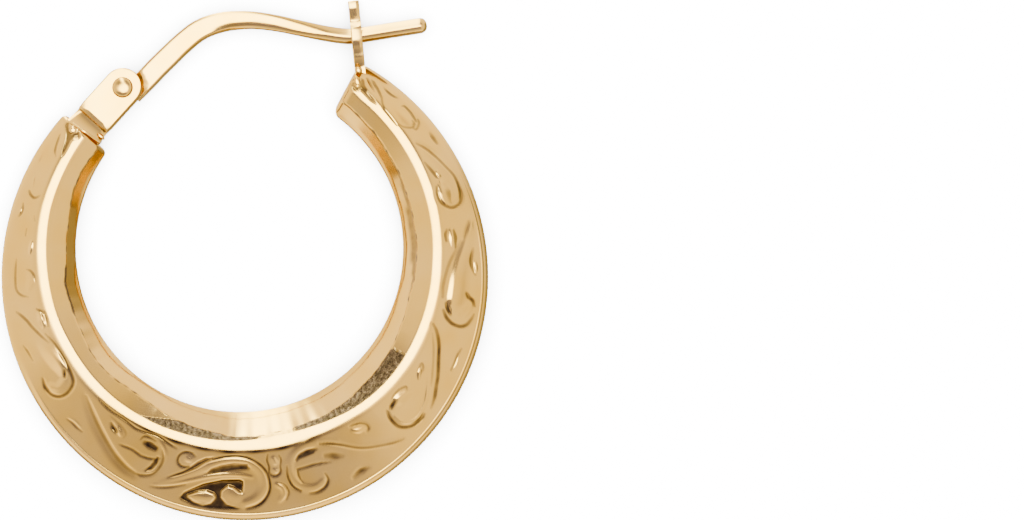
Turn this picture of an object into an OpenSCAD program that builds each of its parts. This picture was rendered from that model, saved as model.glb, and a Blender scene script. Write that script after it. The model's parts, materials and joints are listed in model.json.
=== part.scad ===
// Creole hoop earring with a hinged ear wire, lying on its side.
// X runs from the hinge to the catch, Y from the foot of the hoop to its top, Z up from the surface.
// Round the hoop, angles are in degrees from the foot, and grow towards the catch.

/* [Hoop] */
// Outer diameter of the hoop
hoop_d = 25; // [22:0.5:28]
// Diameter of the round opening inside the hoop
opening_d = 16.8; // [15.6:0.1:17.4]
// How far the opening's centre sits above the hoop's centre
opening_rise = 1.5; // [1:0.1:1.7]
// Width of the smooth inner side, from the crest to the opening
inner_w = 1.8; // [1.5:0.05:2]
// Thickness at the foot of the hoop, over both crests
foot_t = 3.5; // [3:0.1:4]
// Thickness at the ends of the hoop, over both crests
end_t = 2.3; // [2:0.1:2.8]
// Width of the plain rim outside the scrolls
rim_w = 0.4; // [0.3:0.05:0.5]
// Thickness of the rim where the scrolled face begins
rim_t = 0.8; // [0.6:0.05:1]
// Angle from the top of the hoop to the end that carries the hinge
hinge_gap = 37; // [34:0.5:42]
// Angle from the top of the hoop to the end that carries the catch
catch_gap = 39; // [36:0.5:43]
// Length of the rounded edge at each closed end
end_round = 0.3; // [0.15:0.05:0.5]

/* [Scrolls] */
// Height of the pressed scrolls above the face
scroll_h = 0.13; // [0.08:0.01:0.18]
// Width of a scroll line where it is fullest
scroll_w = 0.5; // [0.35:0.05:0.6]

/* [Hinge] */
// Width of the folded strip that makes the hinge fork
fork_w = 2; // [1.6:0.1:2.4]
// Thickness of the fork's strip
fork_t = 0.3; // [0.2:0.05:0.4]
// Distance from the hoop's end to the hinge axis
fork_reach = 3; // [2.6:0.1:3.6]
// Distance from the hinge axis down to the fold of the fork
fork_drop = 2.1; // [1.9:0.1:2.4]
// How far the fork stands outside the middle of the hoop's end
fork_shift = 0.15; // [0:0.05:0.4]
// Diameter of the rivet's shank
rivet_d = 0.6; // [0.5:0.05:0.8]
// Diameter of the rivet's heads
rivet_head_d = 1.06; // [0.95:0.01:1.3]
// Height of a rivet head
rivet_head_h = 0.22; // [0.15:0.01:0.3]

/* [Ear wire] */
// Width of the flat strip, seen from the front
strip_w = 1.15; // [1:0.05:1.3]
// Depth of the flat strip
strip_t = 0.7; // [0.65:0.05:0.8]
// Diameter of the round wire and the post
post_d = 0.8; // [0.7:0.05:0.9]
// Depth of the tongue between the two cheeks of the fork
tongue_t = 0.5; // [0.4:0.05:0.6]
// Length of the straight post beyond the catch
post_l = 3.65; // [3:0.05:4.5]
// Length of the post past the eye that the catch has worn a little thinner
grip_l = 0.5; // [0.4:0.05:0.8]
// Angle between the post and the line from the hinge to the catch
post_tilt = -3.4; // [-6:0.1:0]
// How far the strip arches above the line from the hinge to the catch
arch_rise = 2.17; // [1.8:0.05:2.6]

/* [Catch] */
// Thickness of the catch plate
catch_t = 0.45; // [0.35:0.05:0.55]
// Height of the catch above the hoop's rim
catch_h = 3.45; // [3.1:0.05:4]
// Height of the eye's centre above the hoop's rim
eye_h = 1.65; // [1.4:0.05:1.9]
// Angle of the catch away from straight up
catch_lean = 5.2; // [2:0.2:8]
// Metal left round the eye
catch_wall = 0.5; // [0.4:0.05:0.65]
// Clear space on each side between the catch's prongs at their tips and the post
flare = 0.3; // [0.1:0.05:0.4]

/* [Fit] */
// Gap round parts that turn, on each side
run_gap = 0.04; // [0.02:0.01:0.06]
// Gap round the fixed rivet
rivet_gap = 0.01; // [0.01:0.005:0.02]

/* [Hidden] */
$fn = 48;
gold = [0.88, 0.71, 0.42];

hoop_r = hoop_d / 2;
opening_r = opening_d / 2;
rim_r = hoop_r - rim_w;
post_r = post_d / 2;
first_deg = hinge_gap - 180;
last_deg = 180 - catch_gap;

// Half of the rim's section: share of the rim's width going in, share of its half thickness.
RIM = [[0, 0.35], [0.3, 0.85]];
// The scrolled face: share of its width from rim to crest, share of its rise.
FACE = [[0, 0], [0.45, 0.49], [0.84, 0.88], [0.94, 0.97], [1, 1]];
// The inner side: share of its width from crest to opening, share of the half thickness.
INNER = [[0.12, 0.98], [0.25, 0.91], [0.45, 0.74], [0.65, 0.54], [0.82, 0.34], [0.94, 0.15]];
// The ear wire's middle line: share of the way from hinge to eye, share of arch_rise,
// how far its width has gone from strip to wire, how far it has become round.
ARCH = [
    [0.03, -0.19, 0, 0], [0.103, 0.07, 0, 0], [0.155, 0.27, 0, 0], [0.21, 0.465, 0, 0],
    [0.275, 0.69, 0.05, 0], [0.338, 0.875, 0.1, 0], [0.38, 0.955, 0.16, 0], [0.426, 0.995, 0.24, 0],
    [0.47, 1, 0.34, 0], [0.51, 0.98, 0.46, 0.05], [0.59, 0.89, 0.69, 0.2], [0.68, 0.71, 0.86, 0.45],
    [0.77, 0.48, 0.95, 0.75], [0.88, 0.2, 1, 1],
];

// Scrolls on the face. Each row of a scroll: degrees round the hoop, share of the way from
// the rim to the crest, share of the full line width.
SCROLLS = [
    // The large scroll at the foot, its inner line, and the leaf inside it
    [[-34, 0.17, 0.3], [-31, 0.31, 0.6], [-27.5, 0.46, 0.8], [-24.5, 0.59, 0.9], [-21.5, 0.7, 1],
     [-17, 0.78, 1], [-12.5, 0.8, 1], [-8.5, 0.74, 1], [-6, 0.62, 1], [-5.5, 0.46, 1],
     [-6.5, 0.29, 1], [-8.5, 0.18, 1], [-11, 0.14, 1], [-14, 0.18, 1], [-15.5, 0.28, 0.9]],
    [[-31, 0.22, 0.4], [-26, 0.36, 0.7], [-21.5, 0.49, 0.8], [-16.5, 0.56, 0.8], [-12, 0.57, 0.7],
     [-9, 0.52, 0.3]],
    [[-25.5, 0.15, 0.2], [-23, 0.15, 0.7], [-21, 0.16, 0.9], [-19, 0.18, 0.4]],
    // Small bosses and a leaf beside it
    [[-31.5, 0.62, 0.5], [-29, 0.7, 1], [-26, 0.76, 0.5]],
    [[-2, 0.76, 0.6], [-2, 0.66, 0.9], [-2, 0.57, 0.3]],
    [[-2, 0.39, 0.2], [0, 0.31, 0.7], [0, 0.21, 0.6], [-2, 0.14, 0.2]],
    // The scroll that runs back from the foot towards the catch, and its inner line
    [[34, 0.12, 0.2], [31, 0.2, 0.5], [28, 0.31, 0.6], [25, 0.44, 0.7], [22, 0.58, 0.8],
     [18.5, 0.71, 0.9], [14.5, 0.78, 1], [10, 0.8, 1], [6, 0.76, 1], [3.5, 0.67, 1],
     [2.5, 0.54, 1], [3, 0.41, 1], [4.5, 0.3, 1], [6.5, 0.23, 1], [9, 0.22, 0.9],
     [11, 0.27, 0.7]],
    [[6, 0.55, 0.4], [8, 0.55, 0.7], [11, 0.54, 0.6], [14.5, 0.48, 0.2]],
    [[23.5, 0.8, 0.3], [26, 0.79, 0.8], [28.5, 0.74, 0.9], [30, 0.66, 0.4]],
    // Hooks up the catch side, from the foot, each with its drops
    [[64, 0.72, 0.2], [61, 0.6, 0.6], [57.5, 0.49, 0.8], [54, 0.39, 0.9], [50, 0.3, 1],
     [46.5, 0.23, 1], [43, 0.2, 1], [39.5, 0.22, 1], [37, 0.3, 1], [36, 0.45, 0.9],
     [36.5, 0.61, 0.6]],
    [[54, 0.68, 0.2], [51, 0.64, 0.8], [49, 0.6, 0.3]],
    [[60.5, 0.16, 0.3], [58, 0.16, 0.8], [55.5, 0.16, 0.3]],
    [[93, 0.1, 0.2], [90, 0.24, 0.6], [85.5, 0.48, 0.9], [82, 0.66, 1], [78, 0.73, 1],
     [74, 0.72, 1], [71, 0.66, 1], [68, 0.54, 1], [66, 0.36, 1], [67, 0.2, 0.9],
     [69.5, 0.13, 0.8], [72, 0.14, 0.5], [74, 0.2, 0.2]],
    [[92, 0.72, 0.2], [90, 0.7, 0.9], [87.5, 0.66, 0.3]],
    [[86, 0.14, 0.3], [83, 0.14, 0.8], [80, 0.12, 0.4]],
    [[116.5, 0.69, 0.2], [113.5, 0.51, 0.6], [110.5, 0.36, 0.8], [107, 0.22, 0.9],
     [104, 0.14, 0.9], [101, 0.14, 0.9], [98.5, 0.24, 0.9], [97.5, 0.4, 0.9], [98, 0.56, 0.9],
     [100, 0.68, 0.8], [102.5, 0.72, 0.5], [104.5, 0.66, 0.2]],
    [[112, 0.76, 0.2], [109, 0.66, 0.7], [106.5, 0.54, 0.3]],
    [[126.5, 0.2, 0.2], [124, 0.17, 0.6], [121.5, 0.22, 0.7], [120.5, 0.42, 0.7],
     [122, 0.66, 0.6], [124.5, 0.76, 0.2]],
    [[135.5, 0.18, 0.2], [133.5, 0.38, 0.5], [131.5, 0.57, 0.4], [129.5, 0.72, 0.2]],
    // The broad leaf on the hinge side of the foot, curling back under the crest
    [[-63, 0.66, 0.2], [-60, 0.6, 0.7], [-56.5, 0.5, 0.9], [-52.5, 0.4, 1], [-48.5, 0.31, 1],
     [-45, 0.24, 1], [-41, 0.2, 1], [-38, 0.24, 1], [-36, 0.36, 1], [-35, 0.5, 1],
     [-35, 0.64, 1], [-36.5, 0.73, 1], [-39, 0.78, 0.9], [-41.5, 0.78, 0.7], [-43, 0.72, 0.4]],
    [[-47.5, 0.48, 0.2], [-44, 0.51, 0.6], [-40.5, 0.51, 0.6], [-38, 0.54, 0.3]],
    [[-54, 0.74, 0.3], [-52, 0.68, 0.8], [-49.5, 0.63, 0.4]],
    [[-61.5, 0.15, 0.3], [-59.5, 0.17, 0.7], [-57, 0.2, 0.3]],
    // Hooks up the hinge side
    [[-92, 0.16, 0.2], [-88.5, 0.38, 0.7], [-84.5, 0.57, 0.9], [-80.5, 0.72, 1],
     [-76.5, 0.76, 1], [-73, 0.74, 1], [-69.5, 0.64, 1], [-68, 0.44, 1], [-69, 0.28, 0.9],
     [-71, 0.2, 0.7], [-73.5, 0.22, 0.3]],
    [[-91, 0.71, 0.2], [-89, 0.73, 0.9], [-87, 0.75, 0.3]],
    [[-82, 0.15, 0.3], [-80.5, 0.17, 0.7], [-79, 0.2, 0.3]],
    [[-105.5, 0.22, 0.3], [-101, 0.18, 0.7], [-98, 0.25, 0.8], [-96, 0.45, 0.8],
     [-98, 0.64, 0.8], [-101, 0.7, 0.7], [-102.5, 0.56, 0.3]],
    [[-110.5, 0.7, 0.3], [-109, 0.68, 0.7], [-107.5, 0.65, 0.3]],
    [[-126, 0.14, 0.2], [-123, 0.18, 0.7], [-122, 0.4, 0.7], [-123, 0.66, 0.3]],
    [[-119, 0.15, 0.3], [-117.5, 0.14, 0.7], [-116, 0.12, 0.3]],
    [[-138, 0.2, 0.2], [-135.5, 0.38, 0.6], [-134.5, 0.56, 0.3]],
];

// Direction from the hoop's centre to a place round the hoop, flat in XY.
function spoke(deg) = [sin(deg), -cos(deg), 0];
// Distance from the hoop's centre to a circle of radius r about the opening's centre.
function off_centre(r, deg) = -opening_rise * cos(deg) + sqrt(r * r - pow(opening_rise * sin(deg), 2));
function inside_r(deg) = off_centre(opening_r, deg);
function crest_r(deg) = off_centre(opening_r + inner_w, deg);

// The two crests lie in planes, so the hoop rests along the whole lower one.
function crest_y(deg) = -crest_r(deg) * cos(deg);
crest_slope = (foot_t - end_t) / 2 / (crest_y(last_deg) - crest_y(0));
function half_t(deg) = foot_t / 2 - crest_slope * (crest_y(deg) - crest_y(0));

// A place on the upper scrolled face: share 0 at the rim, 1 at the crest.
function face_r(deg, share) = rim_r - share * (rim_r - crest_r(deg));
function face_z(deg, share) = rim_t / 2 + lookup(share, FACE) * (half_t(deg) - rim_t / 2);
function on_face(deg, share) = face_r(deg, share) * spoke(deg) + [0, 0, face_z(deg, share)];
function face_normal(deg) =
    let (rise = half_t(deg) - rim_t / 2, run = rim_r - crest_r(deg))
    (rise * spoke(deg) + [0, 0, run]) / norm([rise, run]);

// Half of the hoop's section at an angle, from the rim in to the opening: radius and height.
function half_section(deg) = [
    for (p = RIM) [hoop_r - p[0] * rim_w, p[1] * rim_t / 2],
    for (p = FACE) [face_r(deg, p[0]), face_z(deg, p[0])],
    for (p = INNER) [crest_r(deg) - p[0] * (crest_r(deg) - inside_r(deg)), p[1] * half_t(deg)],
];
function whole_section(deg) =
    let (half = half_section(deg), n = len(half))
    concat(half, [[inside_r(deg), 0]], [for (i = [n - 1 : -1 : 0]) [half[i][0], -half[i][1]]]);
// A ring of the hoop, drawn in towards its middle by a margin at the closed ends.
function ring(deg, margin) =
    let (
        middle = (hoop_r + inside_r(deg)) / 2,
        half_w = (hoop_r - inside_r(deg)) / 2,
        half_h = half_t(deg),
        keep_w = 1 - margin / half_w,
        keep_h = 1 - margin / half_h
    )
    [for (p = whole_section(deg)) (middle + (p[0] - middle) * keep_w) * spoke(deg) + [0, 0, p[1] * keep_h]];

// A closed solid through rings of points: every ring has as many points, in the same order.
module loft(rings) {
    n = len(rings[0]);
    last = len(rings) - 1;
    points = [for (r = rings) each r];
    sides = [
        for (i = [0 : last - 1], j = [0 : n - 1])
            let (a = i * n + j, b = i * n + (j + 1) % n)
            each [[a, b, b + n], [a, b + n, a + n]]
    ];
    caps = [[for (j = [n - 1 : -1 : 0]) j], [for (j = [0 : n - 1]) last * n + j]];
    polyhedron(points, concat(sides, caps), convexity = 6);
}

// The plain shell of the hoop
shell_steps = 60;
module shell() {
    round_deg = end_round / hoop_r * 180 / PI;
    span = last_deg - first_deg - 2 * round_deg;
    step = span / shell_steps;
    body_rings = [for (i = [0 : shell_steps]) ring(first_deg + round_deg + i * step, 0)];
    soft = 0.3 * end_round;
    loft(concat(
        [ring(first_deg, end_round), ring(first_deg + 0.3 * round_deg, soft)],
        body_rings,
        [ring(last_deg - 0.3 * round_deg, soft), ring(last_deg, end_round)]
    ));
}

// One scroll: a low ridge with a flattened top along its line, its foot sunk in the shell.
foot_sink = 0.05;
root_sink = 0.2;
module scroll(rows) {
    line = [for (p = rows) on_face(p[0], p[1])];
    n = len(rows);
    loft([
        for (i = [0 : n - 1])
            let (
                along = line[min(i + 1, n - 1)] - line[max(i - 1, 0)],
                up = face_normal(rows[i][0]),
                side = cross(up, along) / norm(cross(up, along)) * scroll_w / 2 * rows[i][2],
                top = up * scroll_h * sqrt(rows[i][2])
            )
            [
                line[i] - side - foot_sink * up,
                line[i] - 0.45 * side + top,
                line[i] + 0.45 * side + top,
                line[i] + side - foot_sink * up,
                line[i] - root_sink * up,
            ]
    ]);
}

module scrolled_shell() {
    // The relief and the shell are one pressed piece, the same on both faces.
    resize([0, 0, 0]) union() {
        shell();
        for (face = [0, 1], rows = SCROLLS) mirror([0, 0, face]) scroll(rows);
    }
}

// Places of the hinge axis and of the catch's eye, in the hoop's own plane
fork_foot_r = (hoop_r + inside_r(first_deg)) / 2 + fork_shift;
hinge_at = fork_foot_r * spoke(first_deg) + fork_reach * [cos(hinge_gap), sin(hinge_gap), 0];
catch_edge = 0.24;
catch_turn = 0.6;
catch_at = (hoop_r - catch_edge) * spoke(last_deg - catch_turn);
catch_up = [sin(catch_lean), cos(catch_lean), 0];
eye_at = catch_at + eye_h * catch_up;
wire_span = norm(eye_at - hinge_at);
wire_turn = atan2(eye_at[1] - hinge_at[1], eye_at[0] - hinge_at[0]);

// The fork: a strip folded into two cheeks, on a foot that is soldered to the hoop's end.
fork_in = tongue_t / 2 + run_gap;
fork_out = fork_in + fork_t;
fold = 0.22;
foot_half_t = 0.62 * fork_out;
foot_shrink = 0.06;
module fork() {
    translate(hinge_at) rotate(hinge_gap) {
        difference() {
            intersection() {
                // The strip's fold, seen along its width
                translate([0, fork_w / 2, 0]) rotate([90, 0, 0]) linear_extrude(fork_w) polygon([
                    [fork_w, fork_out], [-fork_drop + fold, fork_out], [-fork_drop, fork_out - fold],
                    [-fork_drop, fold - fork_out], [fold - fork_drop, -fork_out],
                    [fork_w, -fork_out], [fork_w, -fork_in], [fork_t - fork_drop, -fork_in],
                    [fork_t - fork_drop, fork_in], [fork_w, fork_in],
                ]);
                // The cheeks' outline, round about the hinge axis
                union() {
                    cylinder(h = 3 * fork_out, d = fork_w, center = true);
                    translate([-fork_drop, -fork_w / 2, -1.5 * fork_out])
                        cube([fork_drop, fork_w, 3 * fork_out]);
                }
            }
            cylinder(h = 4 * fork_out, d = rivet_d + 2 * rivet_gap, center = true);
        }
        // The foot reaches into the hoop's closed end
        foot_l = fork_reach - fork_drop + 2 * end_round;
        translate([-fork_drop - foot_l, foot_shrink - fork_w / 2, -foot_half_t])
            cube([foot_l + fork_t / 2, fork_w - 2 * foot_shrink, 2 * foot_half_t]);
    }
}

// The catch: an upright plate with a round eye that opens upwards between two prongs.
eye_r = post_r + 0.05;
catch_root = 0.7;
module catch_outline() {
    ring_r = eye_r + catch_wall;
    difference() {
        union() {
            translate([0, eye_h]) circle(ring_r);
            polygon([
                [-0.6 * ring_r, -catch_root], [0.6 * ring_r, -catch_root], [0.75 * ring_r, eye_h - 0.66 * ring_r],
                [-0.75 * ring_r, eye_h - 0.66 * ring_r],
            ]);
            translate([-0.94 * ring_r, eye_h]) square([1.88 * ring_r, catch_h - eye_h]);
        }
        translate([0, eye_h]) circle(eye_r);
        polygon([
            [-post_r - run_gap, eye_h], [post_r + run_gap, eye_h],
            [post_r + run_gap, eye_h + 0.6 * (catch_h - eye_h)],
            [post_r + flare, catch_h + 0.1], [-post_r - flare, catch_h + 0.1],
            [-post_r - run_gap, eye_h + 0.6 * (catch_h - eye_h)],
        ]);
    }
}
module catch_plate() {
    translate(catch_at) rotate(-catch_lean) rotate([0, 90, 0])
        linear_extrude(catch_t, center = true) catch_outline();
}

// The ear wire's middle line, made smooth between the rows of its table
function between(a, b, c, d, t) =
    (2 * b + (c - a) * t + (2 * a - 5 * b + 4 * c - d) * t * t + (3 * b - a - 3 * c + d) * t * t * t) / 2;
arch_last = len(ARCH) - 1;
arch_rows = [
    for (i = [0 : arch_last - 1], t = [0, 0.5])
        between(ARCH[max(i - 1, 0)], ARCH[i], ARCH[i + 1], ARCH[min(i + 2, arch_last)], t),
    ARCH[arch_last],
];
function arch_at(row) = [row[0] * wire_span, row[1] * arch_rise];

// A ring across the ear wire: boxy where it is strip, a circle where it is wire
function wire_ring(at, deg, half_w, half_d, roundness) =
    let (power = 1 / (3 - 2 * roundness))
    [
        for (a = [0 : 18 : 342])
            let (across = sign(cos(a)) * pow(abs(cos(a)), power) * half_w)
            [
                at[0] - across * sin(deg), at[1] + across * cos(deg),
                -sign(sin(a)) * pow(abs(sin(a)), power) * half_d
            ]
    ];
// Where the wire bends into the post, just before the catch
bend_back = catch_t / 2 + 0.15;
bend_at = [wire_span - bend_back * cos(post_tilt), -bend_back * sin(post_tilt)];
module arched_wire() {
    n = len(arch_rows);
    join_r = 0.97 * post_r;
    loft(concat(
        [
            for (i = [0 : n - 1])
                let (
                    row = arch_rows[i],
                    along = arch_at(arch_rows[min(i + 1, n - 1)]) - arch_at(arch_rows[max(i - 1, 0)]),
                    half_w = (strip_w + row[2] * (post_d - strip_w)) / 2,
                    half_d = (strip_t + row[3] * (post_d - strip_t)) / 2
                )
                wire_ring(arch_at(row), atan2(along[1], along[0]), half_w, half_d, row[3])
        ],
        [
            wire_ring(bend_at, post_tilt, join_r, join_r, 1),
            wire_ring(bend_at + [0.3 * post_d, 0], post_tilt, 0.8 * post_r, 0.8 * post_r, 1),
        ]
    ));
}

grip_wear = 0.01;
module post() {
    soft = 0.35 * post_r;
    whole_l = post_l + bend_back;
    rotate([0, 90, 0]) rotate_extrude() polygon([
        [0, 0], [post_r - grip_wear, 0], [post_r, bend_back + grip_l], [post_r, whole_l - 2 * soft],
        [post_r - 0.3 * soft, whole_l - soft], [post_r - soft, whole_l - 0.3 * soft],
        [post_r - 2 * soft, whole_l], [0, whole_l],
    ]);
}

tongue_r = 0.42 * fork_w;
cheek_gap = 0.12;
module ear_wire() {
    color(gold) lay() translate(hinge_at) rotate(wire_turn) {
        difference() {
            union() {
                cylinder(h = tongue_t, r = tongue_r, center = true);
                arched_wire();
            }
            // The strip is stepped down to the tongue clear of both cheeks
            for (side = [-1, 1]) translate([0, 0, side * (tongue_t / 2 + post_d)])
                cylinder(h = 2 * post_d, r = fork_w / 2 + cheek_gap, center = true);
            cylinder(h = 2 * post_d, d = rivet_d + 2 * rivet_gap + 2 * run_gap, center = true);
        }
        translate(bend_at) rotate(post_tilt) post();
    }
}

module hinge_rivet() {
    half_l = fork_out + rivet_gap;
    head_r = rivet_head_d / 2;
    color(gold) lay() translate(hinge_at) rotate_extrude() polygon([
        [0, -half_l - rivet_head_h], [0.45 * head_r, -half_l - 0.93 * rivet_head_h],
        [0.8 * head_r, -half_l - 0.66 * rivet_head_h], [head_r, -half_l - 0.2 * rivet_head_h],
        [head_r, -half_l], [rivet_d / 2, -half_l], [rivet_d / 2, half_l], [head_r, half_l],
        [head_r, half_l + 0.2 * rivet_head_h], [0.8 * head_r, half_l + 0.66 * rivet_head_h],
        [0.45 * head_r, half_l + 0.93 * rivet_head_h], [0, half_l + rivet_head_h],
    ]);
}

module hoop() {
    color(gold) lay() {
        scrolled_shell();
        fork();
        catch_plate();
    }
}

// Turns the hoop from its own middle plane to lie on its lower crest, about the middle of the
// part's outline, which runs from the hoop's foot to the top of the arched wire.
lie_deg = atan(crest_slope);
outline_top = hinge_at[1] + arch_rise + strip_w / 2;
module lay() {
    lift = foot_t / 2 * cos(lie_deg) + crest_y(0) * sin(lie_deg);
    translate([0, (hoop_r - outline_top) / 2, lift]) rotate([-lie_deg, 0, 0]) children();
}

hoop();
hinge_rivet();
ear_wire();
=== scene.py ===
"""Looks of the creole hoop earring: two pressed halves with scrolls, hinge fork, rivet, ear wire and catch.

Pieces are modelled in millimetres in the hoop's own middle plane: X from the hinge to the catch, Y from
the foot to the top, Z towards the front face. settle() then lays each one on the floor, as the part lies.
Scrolls are charted in pixels of the photograph. to_pixels() and on_hoop() carry a place from the
hoop's plane to the photograph and back.
"""

import json
import math
from contextlib import contextmanager
from types import SimpleNamespace

import bpy
import numpy as np
from mathutils import Matrix, Vector


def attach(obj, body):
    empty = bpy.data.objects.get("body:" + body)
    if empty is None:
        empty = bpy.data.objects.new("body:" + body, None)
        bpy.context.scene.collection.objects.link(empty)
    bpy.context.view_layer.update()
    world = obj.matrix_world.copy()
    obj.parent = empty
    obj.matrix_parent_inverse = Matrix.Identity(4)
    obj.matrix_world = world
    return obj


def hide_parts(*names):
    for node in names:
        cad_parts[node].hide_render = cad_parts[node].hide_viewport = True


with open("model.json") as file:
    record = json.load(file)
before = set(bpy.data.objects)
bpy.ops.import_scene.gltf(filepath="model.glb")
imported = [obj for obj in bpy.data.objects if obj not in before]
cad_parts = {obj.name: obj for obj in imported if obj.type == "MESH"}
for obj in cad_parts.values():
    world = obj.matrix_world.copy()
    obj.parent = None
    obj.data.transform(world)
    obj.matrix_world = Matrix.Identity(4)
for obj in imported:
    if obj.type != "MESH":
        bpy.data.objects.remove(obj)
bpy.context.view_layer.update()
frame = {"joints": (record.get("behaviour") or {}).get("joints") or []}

# Sizes of the hoop, in mm and degrees. Degrees run round it, from 0 at the foot towards the catch
HOOP_R = 12.5
OPENING_R = 8.4
OPENING_RISE = 1.5
INNER_W = 1.8
RIM_W = 0.4
RIM_HALF_T = 0.4
RIM_SWELL = 0.14
FOOT_HALF_T = 1.75
THINNING = 0.034288
FIRST_DEG = -143.0
LAST_DEG = 141.0

# The hinge: its axis, and a fork of two cheeks from FORK_IN to FORK_OUT off the middle plane
HINGE_AT = Vector((-4.329168, 10.729920, 0.0))
FORK_DEG = 37.0
FORK_W = 2.0
FORK_T = 0.3
FORK_IN = 0.29
FORK_OUT = 0.59
FORK_DROP = 2.27

# The catch: its foot, its lean, and the eye's height above the foot
CATCH_AT = Vector((7.8148, 9.4465, 0.0))
CATCH_LEAN = 5.2
CATCH_T = 0.54
CATCH_H = 3.45
EYE_H = 1.65
EYE_R = 0.45
MOUTH_ROOM = 0.04

# The ear wire: a strip at the hinge, an arch to the eye, and the post past it
WIRE_TURN = 1.6763
WIRE_SPAN = 12.2988
ARCH_RISE = 2.17
STRIP_W = 1.15
STRIP_T = 0.7
TONGUE_R = 0.84
TONGUE_T = 0.5
POST_R = 0.4
POST_L = 3.65
POST_TILT = -3.4

# The photograph: its size in pixels, pixels for each mm, the hoop's centre, and how far the hoop is turned
FRAME_PX = (1024, 520)
PX_PER_MM = 19.47
HOOP_PX = (244.9, 277.0)
TURNED = math.radians(10.8)


def on_hoop(px, py):
    """A place in the photograph as a place in the hoop's plane, in mm."""
    right = (px - HOOP_PX[0]) / PX_PER_MM
    up = (HOOP_PX[1] - py) / PX_PER_MM
    x = right * math.cos(TURNED) + up * math.sin(TURNED)
    y = -right * math.sin(TURNED) + up * math.cos(TURNED)
    return x, y


def to_pixels(x, y):
    """Places in the hoop's plane as pixels of the photograph."""
    right = x * math.cos(TURNED) - y * math.sin(TURNED)
    up = x * math.sin(TURNED) + y * math.cos(TURNED)
    return HOOP_PX[0] + right * PX_PER_MM, HOOP_PX[1] - up * PX_PER_MM


# From the hoop's plane to the floor
hinge = frame["joints"][0]
lean = math.atan2(hinge["axis"][1], hinge["axis"][2])
LAY = (
    Matrix.Translation(Vector(hinge["pos_m"]))
    @ Matrix.Rotation(-lean, 4, "X")
    @ Matrix.Scale(0.001, 4)
    @ Matrix.Translation(-HINGE_AT)
)


def settle(piece, body, node, material):
    """Lays a finished piece in its place, gives it its metal, and lets it ride and stand for its node."""
    move_mesh(piece, LAY)
    piece.data.materials.clear()
    piece.data.materials.append(material)
    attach(piece, body)
    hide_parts(node)


# Small helpers for modelling
def drop_selection():
    if bpy.context.object and bpy.context.object.mode != "OBJECT":
        bpy.ops.object.mode_set(mode="OBJECT")
    bpy.ops.object.select_all(action="DESELECT")


def take(piece):
    drop_selection()
    piece.select_set(True)
    bpy.context.view_layer.objects.active = piece


@contextmanager
def editing(piece, action=None):
    """Edit mode on one piece, after selecting or deselecting everything where an action is given."""
    take(piece)
    bpy.ops.object.mode_set(mode="EDIT")
    if action:
        bpy.ops.mesh.select_all(action=action)
    yield
    bpy.ops.object.mode_set(mode="OBJECT")


def named(name):
    piece = bpy.context.object
    piece.name = name
    piece.data.name = name
    return piece


def sheet_of(name, across, along):
    """A flat sheet with so many squares each way, and for each point its step across and its row along."""
    drop_selection()
    bpy.ops.mesh.primitive_grid_add(x_subdivisions=across, y_subdivisions=along, size=1.0)
    piece = named(name)
    co = np.empty(len(piece.data.vertices) * 3)
    piece.data.vertices.foreach_get("co", co)
    step = np.rint((co[0::3] + 0.5) * across).astype(int)
    row = np.rint((co[1::3] + 0.5) * along).astype(int)
    return piece, step, row


def press(piece, points):
    """Puts each point of a sheet in its pressed place."""
    piece.data.vertices.foreach_set("co", np.asarray(points, float).ravel())
    piece.data.update()


def move_mesh(piece, matrix):
    piece.data.transform(matrix)
    piece.data.update()


def close_up(piece, gap=1e-5):
    """Merges the points that meet, and turns every face outwards."""
    with editing(piece, "SELECT"):
        bpy.ops.mesh.remove_doubles(threshold=gap)
        bpy.ops.mesh.normals_make_consistent(inside=False)


def smooth(piece, degrees=180.0):
    take(piece)
    bpy.ops.object.shade_smooth_by_angle(angle=math.radians(degrees))


def soften(piece, width, steps=3, degrees=35.0):
    """Rounds a piece's sharp edges."""
    take(piece)
    bevel = piece.modifiers.new("soft edges", "BEVEL")
    bevel.width = width
    bevel.segments = steps
    bevel.limit_method = "ANGLE"
    bevel.angle_limit = math.radians(degrees)
    bevel.harden_normals = False
    bpy.ops.object.modifier_apply(modifier=bevel.name)


def plate(name, outline, thick):
    """A plate cut to an outline in XY, so thick about Z = 0."""
    drop_selection()
    bpy.ops.mesh.primitive_circle_add(vertices=len(outline), radius=1.0, fill_type="NGON")
    piece = named(name)
    press(piece, [(x, y, -thick / 2) for x, y in outline])
    with editing(piece, "SELECT"):
        bpy.ops.mesh.extrude_region_move(TRANSFORM_OT_translate={"value": (0, 0, thick)})
        bpy.ops.mesh.select_all(action="SELECT")
        bpy.ops.mesh.normals_make_consistent(inside=False)
    return piece


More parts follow.
